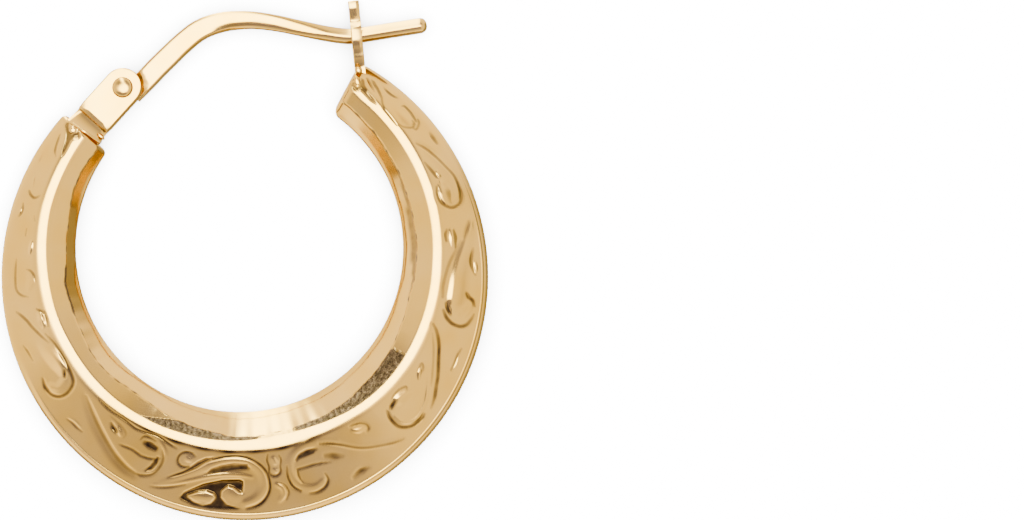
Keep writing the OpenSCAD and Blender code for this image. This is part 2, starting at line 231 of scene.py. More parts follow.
def filed_plate(name, outline, thick, edge_at):
    """A plate whose upper edge is filed off. The outline runs anticlockwise, and edge_at(corner, outward)
    gives how far in and how far down the filing goes there."""
    piece = plate(name, outline, thick)
    top = thick / 2
    lift = 0.2
    with editing(piece, "DESELECT"):
        bpy.ops.mesh.select_mode(type="FACE")
    for face in piece.data.polygons:
        face.select = face.center.z > top - 1e-6
    with editing(piece):
        bpy.ops.mesh.extrude_region_move(TRANSFORM_OT_translate={"value": (0, 0, lift)})
        bpy.ops.mesh.select_mode(type="VERT")
    corners = [Vector(corner) for corner in outline]
    for vertex in piece.data.vertices:
        if vertex.co.z < top - 1e-6:
            continue
        i = min(range(len(corners)), key=lambda k: (corners[k] - vertex.co.xy).length)
        before = (corners[i] - corners[i - 1]).normalized()
        after = (corners[(i + 1) % len(corners)] - corners[i]).normalized()
        ahead = (before + after).normalized()
        out = Vector((ahead.y, -ahead.x))
        inset, down = edge_at(corners[i], out)
        if vertex.co.z > top + lift / 2:
            reach = inset / max(0.5, abs(before.dot(ahead)))
            vertex.co.x -= out.x * reach
            vertex.co.y -= out.y * reach
            vertex.co.z = top
        else:
            vertex.co.z = top - down
    piece.data.update()
    return piece


def join(name, pieces):
    drop_selection()
    for piece in pieces:
        piece.select_set(True)
    bpy.context.view_layer.objects.active = pieces[0]
    bpy.ops.object.join()
    return named(name)


def turned(degrees):
    return Matrix.Rotation(math.radians(degrees), 4, "Z")


def ease(value, low, high):
    """0 below low, 1 above high, and a soft step between them."""
    share = np.clip((value - low) / (high - low), 0.0, 1.0)
    return share * share * (3.0 - 2.0 * share)


def within(value, rise_from, rise_to, fall_from, fall_to):
    """Rises softly from 0 to 1, and falls back to 0."""
    return ease(value, rise_from, rise_to) * (1 - ease(value, fall_from, fall_to))


def ripples(x, y, high, pace, seed):
    """A soft repeatable unevenness, so high in mm at most, and tighter at a higher pace."""
    rng = np.random.default_rng(seed)
    waves = 7
    total = np.zeros_like(x)
    for _ in range(waves):
        turn = rng.uniform(0, math.tau)
        own_pace = rng.uniform(0.5, 1.6)
        shift = rng.uniform(0, math.tau)
        total += np.sin((x * pace * math.cos(turn) + y * pace * math.sin(turn)) * own_pace + shift)
    return high * (total / waves)


# The pressed pattern, charted on the photograph
# Each line: height in mm (below 0 is sunk), the width of its left and of its right side in pixels, and its
# points: x, y and a share of full strength, which is 1 where none is given. Left and right are as seen
# when travelling along it.
LINES = [
    # Slits and the small hook nearest the catch
    (-0.029, 2.2, 2.2, [(371.5, 79.5, 0.5), (375, 85), (378.5, 91), (381.8, 98.4, 0.8)]),
    (-0.023, 1.8, 1.8, [(381.8, 98.4), (382.7, 104), (384.5, 109, 0.8), (388.5, 114, 0.8),
        (392.5, 119, 0.8), (397, 125, 0.3)]),
    (-0.024, 1.9, 1.9, [(367.5, 78, 0.5), (369.5, 82), (372, 86.8), (374.5, 92, 0.4)]),
    (-0.026, 2, 2, [(383, 86.5, 0.4), (387, 91.5), (391.5, 95.5), (397.9, 97.7), (399, 94, 0.5)]),
    (0.03, 5, 5, [(387, 86, 0.6), (391, 90), (395, 93.5, 0.6)]),
    (-0.024, 1.9, 1.9, [(402, 106.4, 0.7), (405, 107), (410, 112.5), (414, 118.5), (416, 121.5)]),
    (-0.024, 1.9, 1.9, [(417.5, 119.5, 0.7), (418.8, 124.3), (416.5, 129.5), (413.5, 129, 0.6)]),
    (-0.023, 1.8, 1.8, [(412.5, 121, 0.6), (414.5, 124.5), (412, 128), (404, 127.4, 0.8),
        (399.5, 125, 0.3)]),
    (0.035, 5, 5, [(399, 112, 0.4), (405, 118), (410, 123, 0.8)]),
    # Dent, and the hook below it with its drops
    (-0.032, 3.2, 3.2, [(430, 133, 0.4), (433, 137.5), (436.8, 143.5, 0.6)]),
    (-0.033, 4.4, 2.5, [(416.6, 143.9, 0.5), (426.4, 149.3, 0.9), (437.1, 158.2, 0.8), (446.1, 167.1, 0.7),
        (455, 177, 0.8), (460.4, 189.5), (461.5, 197), (459.5, 203.5), (453, 207.6), (446, 206),
        (440.5, 201.5), (437.6, 194), (436.9, 187, 0.6)]),
    (0.04, 4, 9, [(430, 151, 0.3), (441, 161, 0.7), (450, 172, 0.9), (456, 184, 0.9), (457, 195, 0.8),
        (452, 202, 0.6)]),
    (-0.032, 2.5, 2.5, [(424.6, 162.7, 0.5), (430.9, 169.8), (437.1, 177.3)]),
    (0.05, 2.2, 2.2, [(437.4, 171.5, 0.5), (439.3, 176)]),
    (0.1, 9, 5.5, [(441, 185.5, 0.5), (443.5, 193), (447, 202.5, 0.7)]),
    # Boss, long tapering leaf, its curl and its comma
    (-0.029, 2.2, 2.2, [(447, 229.5, 0.6), (445.8, 234), (446.6, 241, 0.8)]),
    (0.09, 5, 4.2, [(451.6, 230.5, 0.6), (452.8, 238), (453.4, 246.5, 0.5)]),
    (0.05, 6, 2.6, [(472, 219, 0.5), (470.6, 226, 0.9), (468.4, 236), (465.6, 246), (462, 256, 0.6)]),
    (0.15, 14, 7.8, [(471.4, 220.8, 0.15), (470, 229, 0.2), (467.5, 239, 0.32), (464.8, 248, 0.45),
        (461.6, 257, 0.6), (459, 266, 0.75), (457, 276, 0.9), (455.4, 288), (453.8, 299),
        (452.4, 306, 0.5)]),
    (-0.016, 2.2, 2.2, [(468, 221, 0.6), (466, 229), (463.5, 237, 0.4)]),
    (-0.02, 2.6, 2.8, [(461, 241, 0.4), (455.6, 251, 0.8), (450, 262), (446, 274), (443.2, 286),
        (442.8, 297, 0.8)]),
    (-0.053, 3, 3, [(446.3, 303, 0.6), (448, 309.6), (450.5, 314.5, 0.6)]),
    (-0.039, 3, 3, [(443.6, 310, 0.6), (446.6, 317.4), (451, 322.5), (455.1, 325), (461, 326.5),
        (466.4, 324.8, 0.9), (470.5, 320.5, 0.8), (474, 314.5, 0.4)]),
    (0.035, 1.6, 1.6, [(471.8, 318.5, 0.6), (475.5, 312.5, 0.8)]),
    (-0.039, 3, 3, [(467.5, 293.5, 0.6), (469.5, 297.5), (473, 301), (474.5, 306, 0.6)]),
    (0.04, 7, 4, [(458, 312, 0.5), (464, 315), (470, 309, 0.9)]),
    (-0.028, 2.5, 2.5, [(473.5, 248.5, 0.4), (472, 255.5, 0.9), (471.4, 262), (473, 269),
        (475.5, 275, 0.5)]),
    (0.05, 2.2, 2.2, [(475.3, 261, 0.5), (476.2, 267.5), (476, 273.5, 0.5)]),
    # Double line that swings into the curl low on the catch side, with its drop and comma
    (-0.04, 3, 5.2, [(433.5, 324, 0.5), (437.1, 332, 0.8), (439.2, 345.3), (438.6, 360.6),
        (437.9, 376, 0.9), (436.1, 387.1, 0.9), (434.1, 399.4, 0.8), (431, 407.8, 0.3)]),
    (-0.016, 1.9, 1.9, [(432.6, 333, 0.5), (433.8, 347), (433.4, 362), (432.3, 376), (431.3, 386, 0.4)]),
    (0.035, 2.2, 2.2, [(428.6, 378, 0.4), (428, 387.1, 0.8), (425.9, 401.4), (420.8, 413.2), (416.5, 418.6),
        (409.6, 421.5), (401.4, 420.6), (396, 416, 0.6)]),
    (-0.039, 3, 3, [(424, 414, 0.5), (420.8, 419), (413.7, 424.9), (405.5, 427), (397.3, 425.4),
        (390.4, 418), (387.4, 411, 0.6)]),
    (-0.053, 3, 3, [(395, 401, 0.6), (391.9, 405.3), (390.2, 408.6, 0.5)]),
    (0.09, 5, 9, [(393.6, 403.6, 0.5), (399.5, 398.4), (406.6, 392.8, 0.6)]),
    (-0.024, 1.9, 1.9, [(392, 398, 0.6), (396, 392.6), (400, 389), (405.5, 386.6), (407.4, 389.5, 0.6)]),
    (-0.023, 1.8, 1.8, [(418, 371, 0.5), (420, 366), (422.2, 363.2), (423.4, 368), (421.8, 373, 0.5)]),
    (0.055, 2.6, 2.6, [(420.4, 367, 0.5), (419.7, 373), (419.4, 378.5, 0.6)]),
    (-0.028, 2.1, 2.1, [(461.6, 348.4, 0.5), (457.6, 355), (454.5, 363.7), (451, 370, 0.6)]),
    (0.035, 1.6, 1.6, [(458.8, 358, 0.5), (456.5, 364.7), (454.8, 368.5, 0.5)]),
    # Scroll that runs back from the foot towards the catch
    (-0.028, 2.2, 4.4, [(403.5, 439.2, 0.4), (398, 441.5, 0.8), (391.2, 443.5), (375.9, 446.5),
        (366, 447.8), (355.5, 447.4), (342, 444.8), (330, 443.3), (320, 443.6, 0.6)]),
    (0.03, 5, 6, [(338, 441, 0.3), (323, 441.5, 0.6), (309, 444.5, 0.9), (298, 451), (291.5, 460),
        (290.8, 470), (294, 479), (301, 485.5), (309, 487.5), (317, 486, 0.8), (323, 481, 0.6)]),
    (-0.036, 2.8, 2.8, [(296.7, 459.5, 0.6), (300.5, 454.5), (308, 450.5), (316.8, 448.4, 0.5)]),
    (-0.024, 1.9, 1.9, [(298, 468.8), (309, 465.6), (320, 463), (331.5, 461.5, 0.4)]),
    (-0.024, 1.9, 1.9, [(298, 470.2), (299.2, 476), (302.5, 481.6, 0.5)]),
    (-0.03, 2.5, 2.5, [(325.4, 473, 0.5), (328.6, 479.6, 0.9), (325, 486.8), (318, 491.4, 0.9),
        (310, 493, 0.5)]),
    (-0.032, 2.5, 2.5, [(287.5, 466, 0.4), (288.3, 476, 0.9), (293, 485.5), (301, 490.5, 0.8)]),
    (-0.026, 2, 2, [(350.4, 425.9, 0.6), (355, 424.2), (360.6, 422.9), (366, 424), (368.5, 427.3),
        (367, 431, 0.5)]),
    (0.055, 3.4, 3.4, [(353.5, 430.6, 0.5), (358.6, 430.4), (363, 428.8, 0.6)]),
    (-0.036, 5.6, 3.8, [(368.4, 467.4, 0.3), (361, 470), (353.5, 476.9, 0.4)]),
    (-0.024, 6.2, 5, [(326, 455.5, 0.6), (334, 455.6), (342.5, 455.6, 0.4)]),
    # Bosses beside the large scroll at the foot
    (0.045, 4, 4, [(274, 458.6, 0.8), (275.6, 462)]),
    (0.035, 2.6, 2.6, [(274.8, 469.6, 0.8), (276.6, 470.4)]),
    (-0.026, 2, 2, [(268.4, 453.5, 0.5), (267.6, 460), (269.6, 466.5), (270, 473), (276, 475.5),
        (281, 471.5), (280.8, 465.5, 0.8), (281.4, 459, 0.8), (279.4, 454.6, 0.5)]),
    (0.06, 4, 4, [(277, 484.4, 0.5), (283, 487.6), (284.6, 494), (280.5, 500.4, 0.5)]),
    (-0.024, 1.9, 1.9, [(280, 482.6, 0.5), (285.6, 485.6), (289, 492), (286.8, 498.6, 0.7)]),
    (0.045, 4.2, 4.2, [(188.4, 459, 0.9), (190.6, 459.4)]),
    (-0.028, 2.1, 2.1, [(196.4, 456, 0.5), (191.4, 452), (184.5, 451.8), (179.4, 456), (178.6, 461.6),
        (183, 466), (190, 466.4, 0.8)]),
    (-0.031, 2.4, 2.4, [(168.5, 476.8, 0.4), (178, 474), (189.6, 470), (202.9, 461.7),
        (213.7, 457.2, 0.4)]),
    # The large scroll at the foot
    (-0.033, 2.5, 2.5, [(200.3, 463.5, 0.4), (214, 459, 0.8), (231, 456), (247, 457.3), (260.5, 464.4),
        (268, 474.2), (270.4, 487.6), (265.9, 498.3), (257.9, 505), (247, 508.2, 0.6)]),
    (0.05, 6, 6.5, [(160, 483, 0.2), (176, 478.6, 0.5), (198, 470.4, 0.8), (212, 465), (226, 460.8),
        (242, 460.6), (254, 464.6), (262.4, 473), (264.6, 484), (261.4, 493.4), (254.4, 500, 0.9),
        (245, 503.5, 0.7)]),
    (-0.034, 3.4, 3.4, [(206, 473.4, 0.3), (218, 471.2, 0.6), (232, 468.4, 0.8), (245.5, 466.6),
        (249.4, 467.6, 0.6)]),
    (0.035, 2.6, 2.6, [(153.4, 484.2, 0.3), (172, 483.4, 0.7), (190, 480.2), (208, 476.4), (226, 474.4),
        (241, 474.8), (252.5, 477, 0.6)]),
    (-0.024, 2.1, 2.1, [(150, 486, 0.3), (160, 487, 0.8), (172, 486.4, 0.9), (186, 484, 0.5)]),
    (0.045, 6, 6, [(187.5, 496, 0.3), (197, 496.6, 0.9), (206, 497.6), (213.6, 497, 0.6)]),
    (0.04, 8.5, 8.5, [(231.4, 495, 0.9), (236, 497)]),
    # Long leaf on the hinge side of the foot, its curl, drop and pocket
    (-0.052, 4, 9.5, [(87.5, 396, 0.3), (91.6, 406.6, 0.7), (96.5, 418.6, 0.95), (102.1, 430.5),
        (109.8, 444.8), (117.4, 456.3), (127, 466.8, 0.9), (135, 472.6, 0.6)]),
    (-0.024, 2.2, 3, [(130, 469.8, 0.3), (138, 474, 0.9), (146, 475), (153.8, 473), (160.4, 466.6),
        (164, 458.4, 0.9), (163.4, 450, 0.4)]),
    (-0.028, 2.1, 2.1, [(101, 400, 0.4), (107, 406), (113.6, 411.3), (127, 420), (136.6, 427.6),
        (146.1, 431.4), (158.6, 435.3), (170, 442.9), (178, 448, 0.4)]),
    (-0.056, 3.4, 3.4, [(112.6, 422.6, 0.5), (114.3, 427), (117.4, 431.4, 0.7)]),
    (0.06, 2.7, 2.7, [(118, 427, 0.6), (120, 431.4), (121.4, 435, 0.5)]),
    (-0.012, 1.8, 1.8, [(111.7, 415.2, 0.5), (118, 421), (124, 427), (127, 433), (124.6, 437, 0.5)]),
    (-0.024, 1.9, 1.9, [(141.6, 438.8, 0.5), (145, 435.8), (150, 436.4), (156.5, 440.5, 0.6)]),
    (-0.05, 5.2, 5.2, [(146, 442, 0.5), (151, 444.4), (156.4, 447.6, 0.7)]),
    (0.03, 2.2, 2.2, [(160, 441, 0.4), (164.5, 447), (166.4, 455), (163.6, 462.4, 0.5)]),
    (-0.067, 3.8, 3.8, [(158.4, 457.6, 0.6), (155.7, 462.4), (151.5, 467), (146.6, 469.8, 0.4)]),
    (0.03, 1.4, 1.4, [(146.6, 472.2, 0.5), (153, 471.4), (158.4, 466.8, 0.5)]),
    (-0.024, 2, 2, [(120.3, 443.9, 0.5), (126, 446), (132.7, 448.7), (137.5, 452), (142.3, 455.4),
        (151.9, 458.2), (161.4, 458.2, 0.4)]),
    (-0.024, 1.9, 1.9, [(67.7, 419, 0.5), (73, 422.5), (78, 427.5), (83, 431.7, 0.5)]),
    (0.015, 1.4, 1.4, [(69, 416.8, 0.5), (75, 420.6), (80.6, 426, 0.7)]),
    # Hook above it on the hinge side
    (-0.036, 2.9, 2.9, [(47, 334, 0.3), (54.5, 342, 0.8), (61.9, 353), (69.6, 367), (74.2, 377.8),
        (73.4, 385.5), (67.7, 393.2), (60, 396.4), (52, 394.4), (46.4, 388), (43.8, 379, 0.5)]),
    (0.1, 6.5, 10, [(43.4, 344.5, 0.35), (49, 350, 0.8), (55, 356.4), (61, 364.6, 0.9), (64, 371, 0.5)]),
    (0.03, 5, 6, [(66, 374, 0.6), (64.5, 382), (59, 388), (52, 386.6, 0.8)]),
    (-0.042, 2.4, 2.4, [(65.4, 369.6, 0.6), (65.8, 373), (66, 377.6, 0.6)]),
    (-0.028, 2.6, 2.6, [(17.2, 312.1, 0.5), (22, 315.5), (28, 321), (32.5, 326.4), (42, 335.7, 0.9),
        (50, 342.5, 0.4)]),
    (-0.033, 2.5, 2.5, [(38, 309.3, 0.6), (41.1, 310.6), (44.8, 312.6, 0.7)]),
    (0.09, 3.6, 4.4, [(40.4, 313, 0.6), (42, 318.6), (44, 325.4, 0.5)]),
    (-0.031, 2.4, 2.4, [(45.4, 312.6, 0.7), (47.2, 318.8), (49, 326, 0.5)]),
    (-0.024, 1.9, 1.9, [(24, 346, 0.4), (28, 351.2), (33.7, 361, 0.5)]),
    # Ring, dash and comma higher on the hinge side
    (-0.024, 2.1, 2.1, [(17.2, 259, 0.4), (16.3, 268, 0.9), (16, 279.5), (16.6, 288.1), (19, 292.8),
        (23, 295.6), (29.4, 297, 0.4)]),
    (0.05, 6, 6, [(30, 272.5, 0.5), (31.8, 280), (29.8, 288, 0.6)]),
    (-0.024, 1.9, 1.9, [(27.6, 269.4, 0.5), (31.6, 270.8), (35.2, 275), (36.6, 282, 0.5)]),
    (0.075, 2.6, 2.6, [(32.6, 242, 0.5), (31.6, 247), (30.6, 253, 0.6)]),
    (-0.016, 1.6, 1.6, [(27.6, 228.6, 0.6), (26.4, 235.5, 0.8)]),
    (-0.012, 1.6, 1.6, [(35.2, 215.6, 0.5), (35.8, 221, 0.8)]),
    (-0.024, 1.9, 1.9, [(23.8, 203.5, 0.6), (23.6, 209), (21.4, 214), (18.8, 216.8, 0.5)]),
    (0.03, 1.6, 1.6, [(21.4, 206, 0.4), (20.6, 211), (18, 215, 0.5)]),
    (-0.031, 2.4, 2.4, [(29.8, 191, 0.6), (31.5, 195), (34.6, 197.8), (38, 197.4, 0.7), (41, 195.8, 0.3)]),
    (0.02, 1.2, 1.2, [(35.2, 176, 0.5), (34, 181), (33.5, 187.4, 0.5)]),
    (-0.031, 2.4, 2.4, [(42.2, 154, 0.7), (40.2, 158), (39.6, 161, 0.6)]),
    (-0.023, 1.8, 1.8, [(60.6, 135, 0.5), (58.9, 140.2), (57, 146), (55.8, 152), (56.7, 157, 0.4)]),
]

# Sunk grounds: depth in mm, fall in mm for each mm towards the crest, share of painted shade with dark
# polish, and the outline
GROUNDS = [
    (0.02, 0.1, 1, [(180, 497), (184, 491.6), (204, 483.6), (223, 479.8), (240, 479.6), (243.8, 481),
        (243.8, 493), (239, 492), (233.7, 487.6), (228.4, 486.2), (222.4, 491), (221.7, 497), (227, 503.7),
        (241.8, 509), (225, 509.4), (209.6, 508.7), (193.6, 505.3), (182, 499.6)]),
    (0.012, 0.07, 0.9, [(206.5, 473.2), (211.5, 467.8), (221, 464.6), (234, 462.6), (248.6, 463.2),
        (249.6, 468.4), (240, 469), (226, 470.4), (214, 472.6)]),
    (0.012, 0.07, 0.9, [(169, 477.4), (176, 474.4), (188, 468), (198, 461), (206, 457.8), (215, 456.6),
        (207, 462), (198, 468), (187, 472.8), (177, 476)]),
    (0.012, 0.07, 0.85, [(295.8, 460), (299, 453.6), (306, 449.4), (317, 447.6), (314.6, 452.6),
        (306, 456.4)]),
    (0.012, 0.07, 0.6, [(146, 441), (150.5, 441.8), (157, 446), (157.6, 449), (151, 447.6)]),
    (0.012, 0.07, 0.9, [(159, 457.4), (157.4, 463.8), (152, 468.6), (146.4, 470), (151, 464),
        (155.6, 457.6)]),
    (0.02, 0.1, 0.8, [(66, 121.5), (70, 123), (69.5, 126.5), (69.6, 131), (73, 134.6), (77, 133.5),
        (79.5, 131.5), (81, 137), (79, 138.6), (74, 138.8), (71.4, 141.5), (68, 149), (65, 154),
        (62.8, 156.2), (63.2, 150), (65.4, 143), (66.4, 136), (66, 129), (64.8, 124.5)]),
    (0.02, 0.1, 0.7, [(361.5, 78), (364.5, 80), (365.5, 86), (369, 92), (374, 99), (376, 104), (371, 101),
        (365.5, 95), (361, 90.5), (357.5, 91.5), (353.5, 90.5), (352.3, 86), (353.6, 81), (355.2, 86),
        (357.6, 89.2), (360, 86.5), (360.8, 82)]),
]

# Parts left standing in the grounds
ISLANDS = [
    [(187.5, 495.6), (197.6, 491.9), (207, 491), (213.6, 493.6), (215.4, 497.4), (211, 503), (203, 505),
        (193.6, 501)],
]

# How much wider and stronger than charted the lines are pressed, and their width where their strength ends
LINE_SPREAD = 1.12
LINE_LIFT = 1.15
THIN_END = 0.45
# Pixels into a ground over which its wall goes down, and over which its painted shade and dark polish begin
GROUND_WALL = (-1.2, 2.0)
GROUND_SHADE_POLISH = (-0.7, 1.0)
# How deep in mm a line has to be for a full share of painted shade and dark polish, and the least and most of
# that share
SHADE_POLISH_DEPTH = 0.03
SHADE_POLISH_RANGE = (0.4, 1.6)
# The foot's pattern, where more shade is painted, as its recesses reflect dark there: the pixels over which
# its upper side and its left and right ends fade
FOOT_TOP = (405, 440)
FOOT_ENDS = (110, 150, 330, 360)


def flowing(points, between=5):
    """A smooth line through charted points."""
    rows = np.array(points, float)
    padded = np.vstack([2 * rows[0] - rows[1], rows, 2 * rows[-1] - rows[-2]])
    line = []
    for i in range(1, len(padded) - 2):
        before, here, after, later = padded[i - 1 : i + 3]
        for step in range(between):
            t = step / between
            first = (after - before) * t
            second = (2 * before - 5 * here + 4 * after - later) * t * t
            third = (3 * here - before - 3 * after + later) * t**3
            line.append(0.5 * (2 * here + first + second + third))
    line.append(rows[-1])
    return np.array(line)


def beside(a, b, qx, qy):
    """How far along the stretch from a to b each place is, from 0 to 1, and how far it is off it."""
    ahead = b - a
    share = np.clip(((qx - a[0]) * ahead[0] + (qy - a[1]) * ahead[1]) / (ahead @ ahead), 0, 1)
    return share, qx - a[0] - share * ahead[0], qy - a[1] - share * ahead[1]


def inside_of(outline, qx, qy):
    """Distance in pixels into a charted outline, below 0 outside it."""
    corners = np.array(outline, float)
    inside = np.zeros(len(qx), bool)
    gap = np.full(len(qx), np.inf)
    for a, b in zip(corners, np.roll(corners, -1, axis=0)):
        crosses = (a[1] > qy) != (b[1] > qy)
        at = a[0] + (qy - a[1]) * (b[0] - a[0]) / (b[1] - a[1] + 1e-12)
        inside ^= crosses & (qx < at)
        _, off_x, off_y = beside(a, b, qx, qy)
        gap = np.minimum(gap, np.hypot(off_x, off_y))
    return np.where(inside, gap, -gap)


def near_line(line, qx, qy):
    """Distance of each place from a line, a number above 0 on its left, and the line's strength there."""
    best = np.full(len(qx), np.inf)
    side = np.zeros(len(qx))
    strength = np.zeros(len(qx))
    for a, b in zip(line[:-1], line[1:]):
        share, off_x, off_y = beside(a[:2], b[:2], qx, qy)
        gap = np.hypot(off_x, off_y)
        closer = gap < best
        best = np.where(closer, gap, best)
        side = np.where(closer, off_x * (b[1] - a[1]) - off_y * (b[0] - a[0]), side)
        strength = np.where(closer, a[2] + share * (b[2] - a[2]), strength)
    return best, side, strength


def in_frame(px, py, corners, margin):
    """Which places lie in the box round some corners."""
    low = corners.min(0) - margin
    high = corners.max(0) + margin
    return np.nonzero((px > low[0]) & (px < high[0]) & (py > low[1]) & (py < high[1]))[0]


def sink_grounds(x, y, px, py, sunk, shade_and_polish):
    for deep, fall, shade_and_polish_share, outline in GROUNDS:
        corners = np.array(outline, float)
        near = in_frame(px, py, corners, 3)
        edge = inside_of(outline, px[near], py[near])
        for island in ISLANDS:
            edge = np.minimum(edge, -inside_of(island, px[near], py[near]))
        cx, cy = on_hoop(corners[:, 0], corners[:, 1])
        lowest = np.hypot(cx, cy - OPENING_RISE).max()
        uphill = lowest - np.hypot(x[near], y[near] - OPENING_RISE)
        floor_z = -(deep + fall * np.maximum(uphill, 0))
        sunk[near] = np.minimum(sunk[near], ease(edge, *GROUND_WALL) * floor_z)
        # The ground's recess gets painted shade, with some dark polish
        shade_and_polish[near] = np.maximum(shade_and_polish[near], ease(edge, *GROUND_SHADE_POLISH) * shade_and_polish_share)


def press_lines(px, py, raised, sunk, shade_and_polish):
    at_foot = ease(py, *FOOT_TOP) * within(px, *FOOT_ENDS)
    for height, left_w, right_w, points in LINES:
        line = flowing([(*point, 1)[:3] for point in points])
        thin_w, wide_w = sorted((left_w, right_w))
        near = in_frame(px, py, line[:, :2], wide_w)
        best, side, strength = near_line(line, px[near], py[near])
        swell = THIN_END + (1 - THIN_END) * strength
        width = LINE_SPREAD * np.where(side > 0, left_w, right_w) * swell
        share = np.clip(1 - best / width, 0, 1)
        form = LINE_LIFT * share * share * (3 - 2 * share) * strength * abs(height)
        if height > 0:
            raised[near] = np.maximum(raised[near], form)
            continue
        sunk[near] = np.minimum(sunk[near], -form)
        # A line that fades out to one side gets less painted shade and polish
        one_sided = 0.5 if wide_w > 2 * thin_w else 1.0
        shade_and_polish_share = np.clip(abs(height) / SHADE_POLISH_DEPTH, *SHADE_POLISH_RANGE) * strength * one_sided
        # More shade is painted at the foot, where the recesses reflect dark
        shade_and_polish_share = shade_and_polish_share * (0.7 + 0.2 * at_foot[near])
        shade_and_polish[near] = np.maximum(shade_and_polish[near], shade_and_polish_share * ease(1 - best / (thin_w * swell), 0.05, 0.75))


def charted_relief(x, y):
    """Height of the pressed pattern over the plain face, in mm, at places in the hoop's plane, and how
    much shade, with some dark polish, is painted in its recesses."""
    px, py = to_pixels(x, y)
    raised, sunk, shade_and_polish = np.zeros((3, len(px)))
    sink_grounds(x, y, px, py, sunk, shade_and_polish)
    press_lines(px, py, raised, sunk, shade_and_polish)
    return raised + sunk, np.clip(shade_and_polish, 0, 1)


# The two pressed halves of the hoop. These tables give a value at so many degrees round it
# Where the front pressing ends and the inner band begins: the share of the way from the opening's edge
# (0) to the crest (1)
SEAM = [
    (-143, 0.28), (-140, 0.29), (-133, 0.33), (-128, 0.33), (-122, 0.26), (-107, 0.26), (-98, 0.37),
    (-90, 0.37), (-82, 0.42), (-76, 0.46), (-71, 0.5), (-52, 0.39), (-35, 0.52), (-14, 0.7), (10, 0.67),
    (30, 0.65), (50, 0.53), (59, 0.47), (73, 0.38), (91, 0.41), (105, 0.36), (117, 0.36), (129, 0.42),
    (141, 0.43),
]
# Middle of the polished crest, in mm outwards from the crest line
CREST_MIDDLE = [
    (-143, -0.26), (-132, -0.2), (-120, -0.1), (-100, -0.09), (-90, -0.05), (-80, -0.06), (-68, -0.02),
    (-58, 0.0), (-50, -0.03), (-38, -0.07), (-20, -0.08), (0, -0.12), (14, -0.08), (24, 0.02), (33, 0.12),
    (42, 0.17), (52, 0.16), (62, 0.1), (72, 0.04), (84, -0.03), (104, -0.06), (124, -0.11), (136, -0.12),
    (141, 0.0),
]
# Half the crest's width, in mm
CREST_HALF = [
    (-143, 0.2), (-60, 0.22), (-40, 0.19), (-10, 0.24), (0, 0.3), (10, 0.26), (26, 0.18), (46, 0.17),
    (60, 0.2), (141, 0.21),
]
# How wide the bend is from the crest down to the outer flank, in mm
OUTER_BEND = [
    (-143, 0.2), (-125, 0.22), (-105, 0.34), (-80, 0.42), (-62, 0.3), (-48, 0.16), (0, 0.2), (14, 0.24),
    (30, 0.3), (44, 0.3), (60, 0.34), (76, 0.26), (90, 0.18), (141, 0.18),
]
# Slope of the strip between the crest and the seam, in degrees
INNER_SLOPE = [
    (-143, 27), (-60, 26), (-50, 20), (-44, 15), (-12, 14), (0, 17), (12, 14), (48, 15), (54, 20), (60, 26),
    (141, 27),
]
# How unevenly the seam runs: share of the inner side's width, waves by degree, and shift
SEAM_WAVES = [(0.012, 0.21, 0.0), (0.008, 0.53, 1.0), (0.004, 1.3, 2.0)]
# In mm: the bend on the crest's inner side, and how far each side of the crest line the crest's rows reach
INNER_BEND = 0.1
CREST_ZONE = 0.42
# The slope at which the crest's polished strip ends on each side
CREST_TILT = math.tan(math.radians(5.5))
# The fine bead along the rim's lower half, in mm, and the degrees over which it rises and fades
BEAD_R = 12.21
BEAD_W = 0.045
BEAD_H = 0.034
BEAD_DEG = (-80, -62, 92, 112)
# The groove at the inner band's start and the rounded edge at its end, in mm
GROOVE = 0.075
BAND_EDGE_H = 0.22

# Degrees over which each mark rises and fades: rough solder in a strip at the foot and in a patch, and
# painted shade in the crest's outer bend, along the seam and in the inner band
STRIP_DEG = (-52, -45, 52, 56)
PATCH_DEG = (-108, -103, -90, -86)
BEND_SHADE_DEG = (-58, -46, 12, 20)
SEAM_SHADE_DEG = (-78, -74, -56, -50)
BAND_SHADE_DEG = (70, 76, 112, 122)
# Where the painted shade in the inner band is deepest, and how deep in mm
BAND_SHADE_FULL = (74, 88, 94, 118)
BAND_SHADE_DEEP = 0.24

# Unevenness of the pressed faces and of the solder: height in mm, pace and seed
SLOW_WAVES = (0.012, 1.7, 11)
QUICK_WAVES = (0.0016, 7, 12)
SOLDER_GRIT = (0.006, 26, 13)

# Rows across a half: the rim's by distance from the hoop's centre, the inner band's by share of its width
ALONG_HOOP = 920
RIM_ROWS = [
    12.5, 12.496, 12.485, 12.462, 12.43, 12.39, 12.35, 12.31, 12.275, 12.245, 12.215, 12.185, 12.155, 12.12,
    12.075, 12.02,
]
BAND_ROWS = [0.0, 0.05, 0.1, 0.19, 0.34, 0.6, 0.86, 0.93, 0.97, 0.992, 1.0]
# Shares of the band's width at which its groove ends and its rounded edge begins
BAND_GROOVE = 0.05
BAND_EDGE = 0.86
# The row at which each zone begins
FLANK_ROW = len(RIM_ROWS) - 1
CREST_ROW = FLANK_ROW + 43
SLOPE_ROW = CREST_ROW + 32
BAND_ROW = SLOPE_ROW + 7
LAST_ROW = BAND_ROW + len(BAND_ROWS) - 1

# The closed ends: shares of the section on the way out from their middle, then a rounded edge, whose
# radius in mm is given for the hinge end and the catch end
CAP = [0.0, 0.45, 0.8, 1.0]
ROUND_STEPS = 6
HINGE_ROUND = 0.3
CATCH_ROUND = 0.5


def opening_circle(radius, deg):
    """Distance from the hoop's centre to a circle about the opening's centre."""
    a = np.radians(deg)
    return -OPENING_RISE * np.cos(a) + np.sqrt(radius**2 - (OPENING_RISE * np.sin(a)) ** 2)


FOOT_CREST = float(opening_circle(OPENING_R + INNER_W, np.array([0.0]))[0])


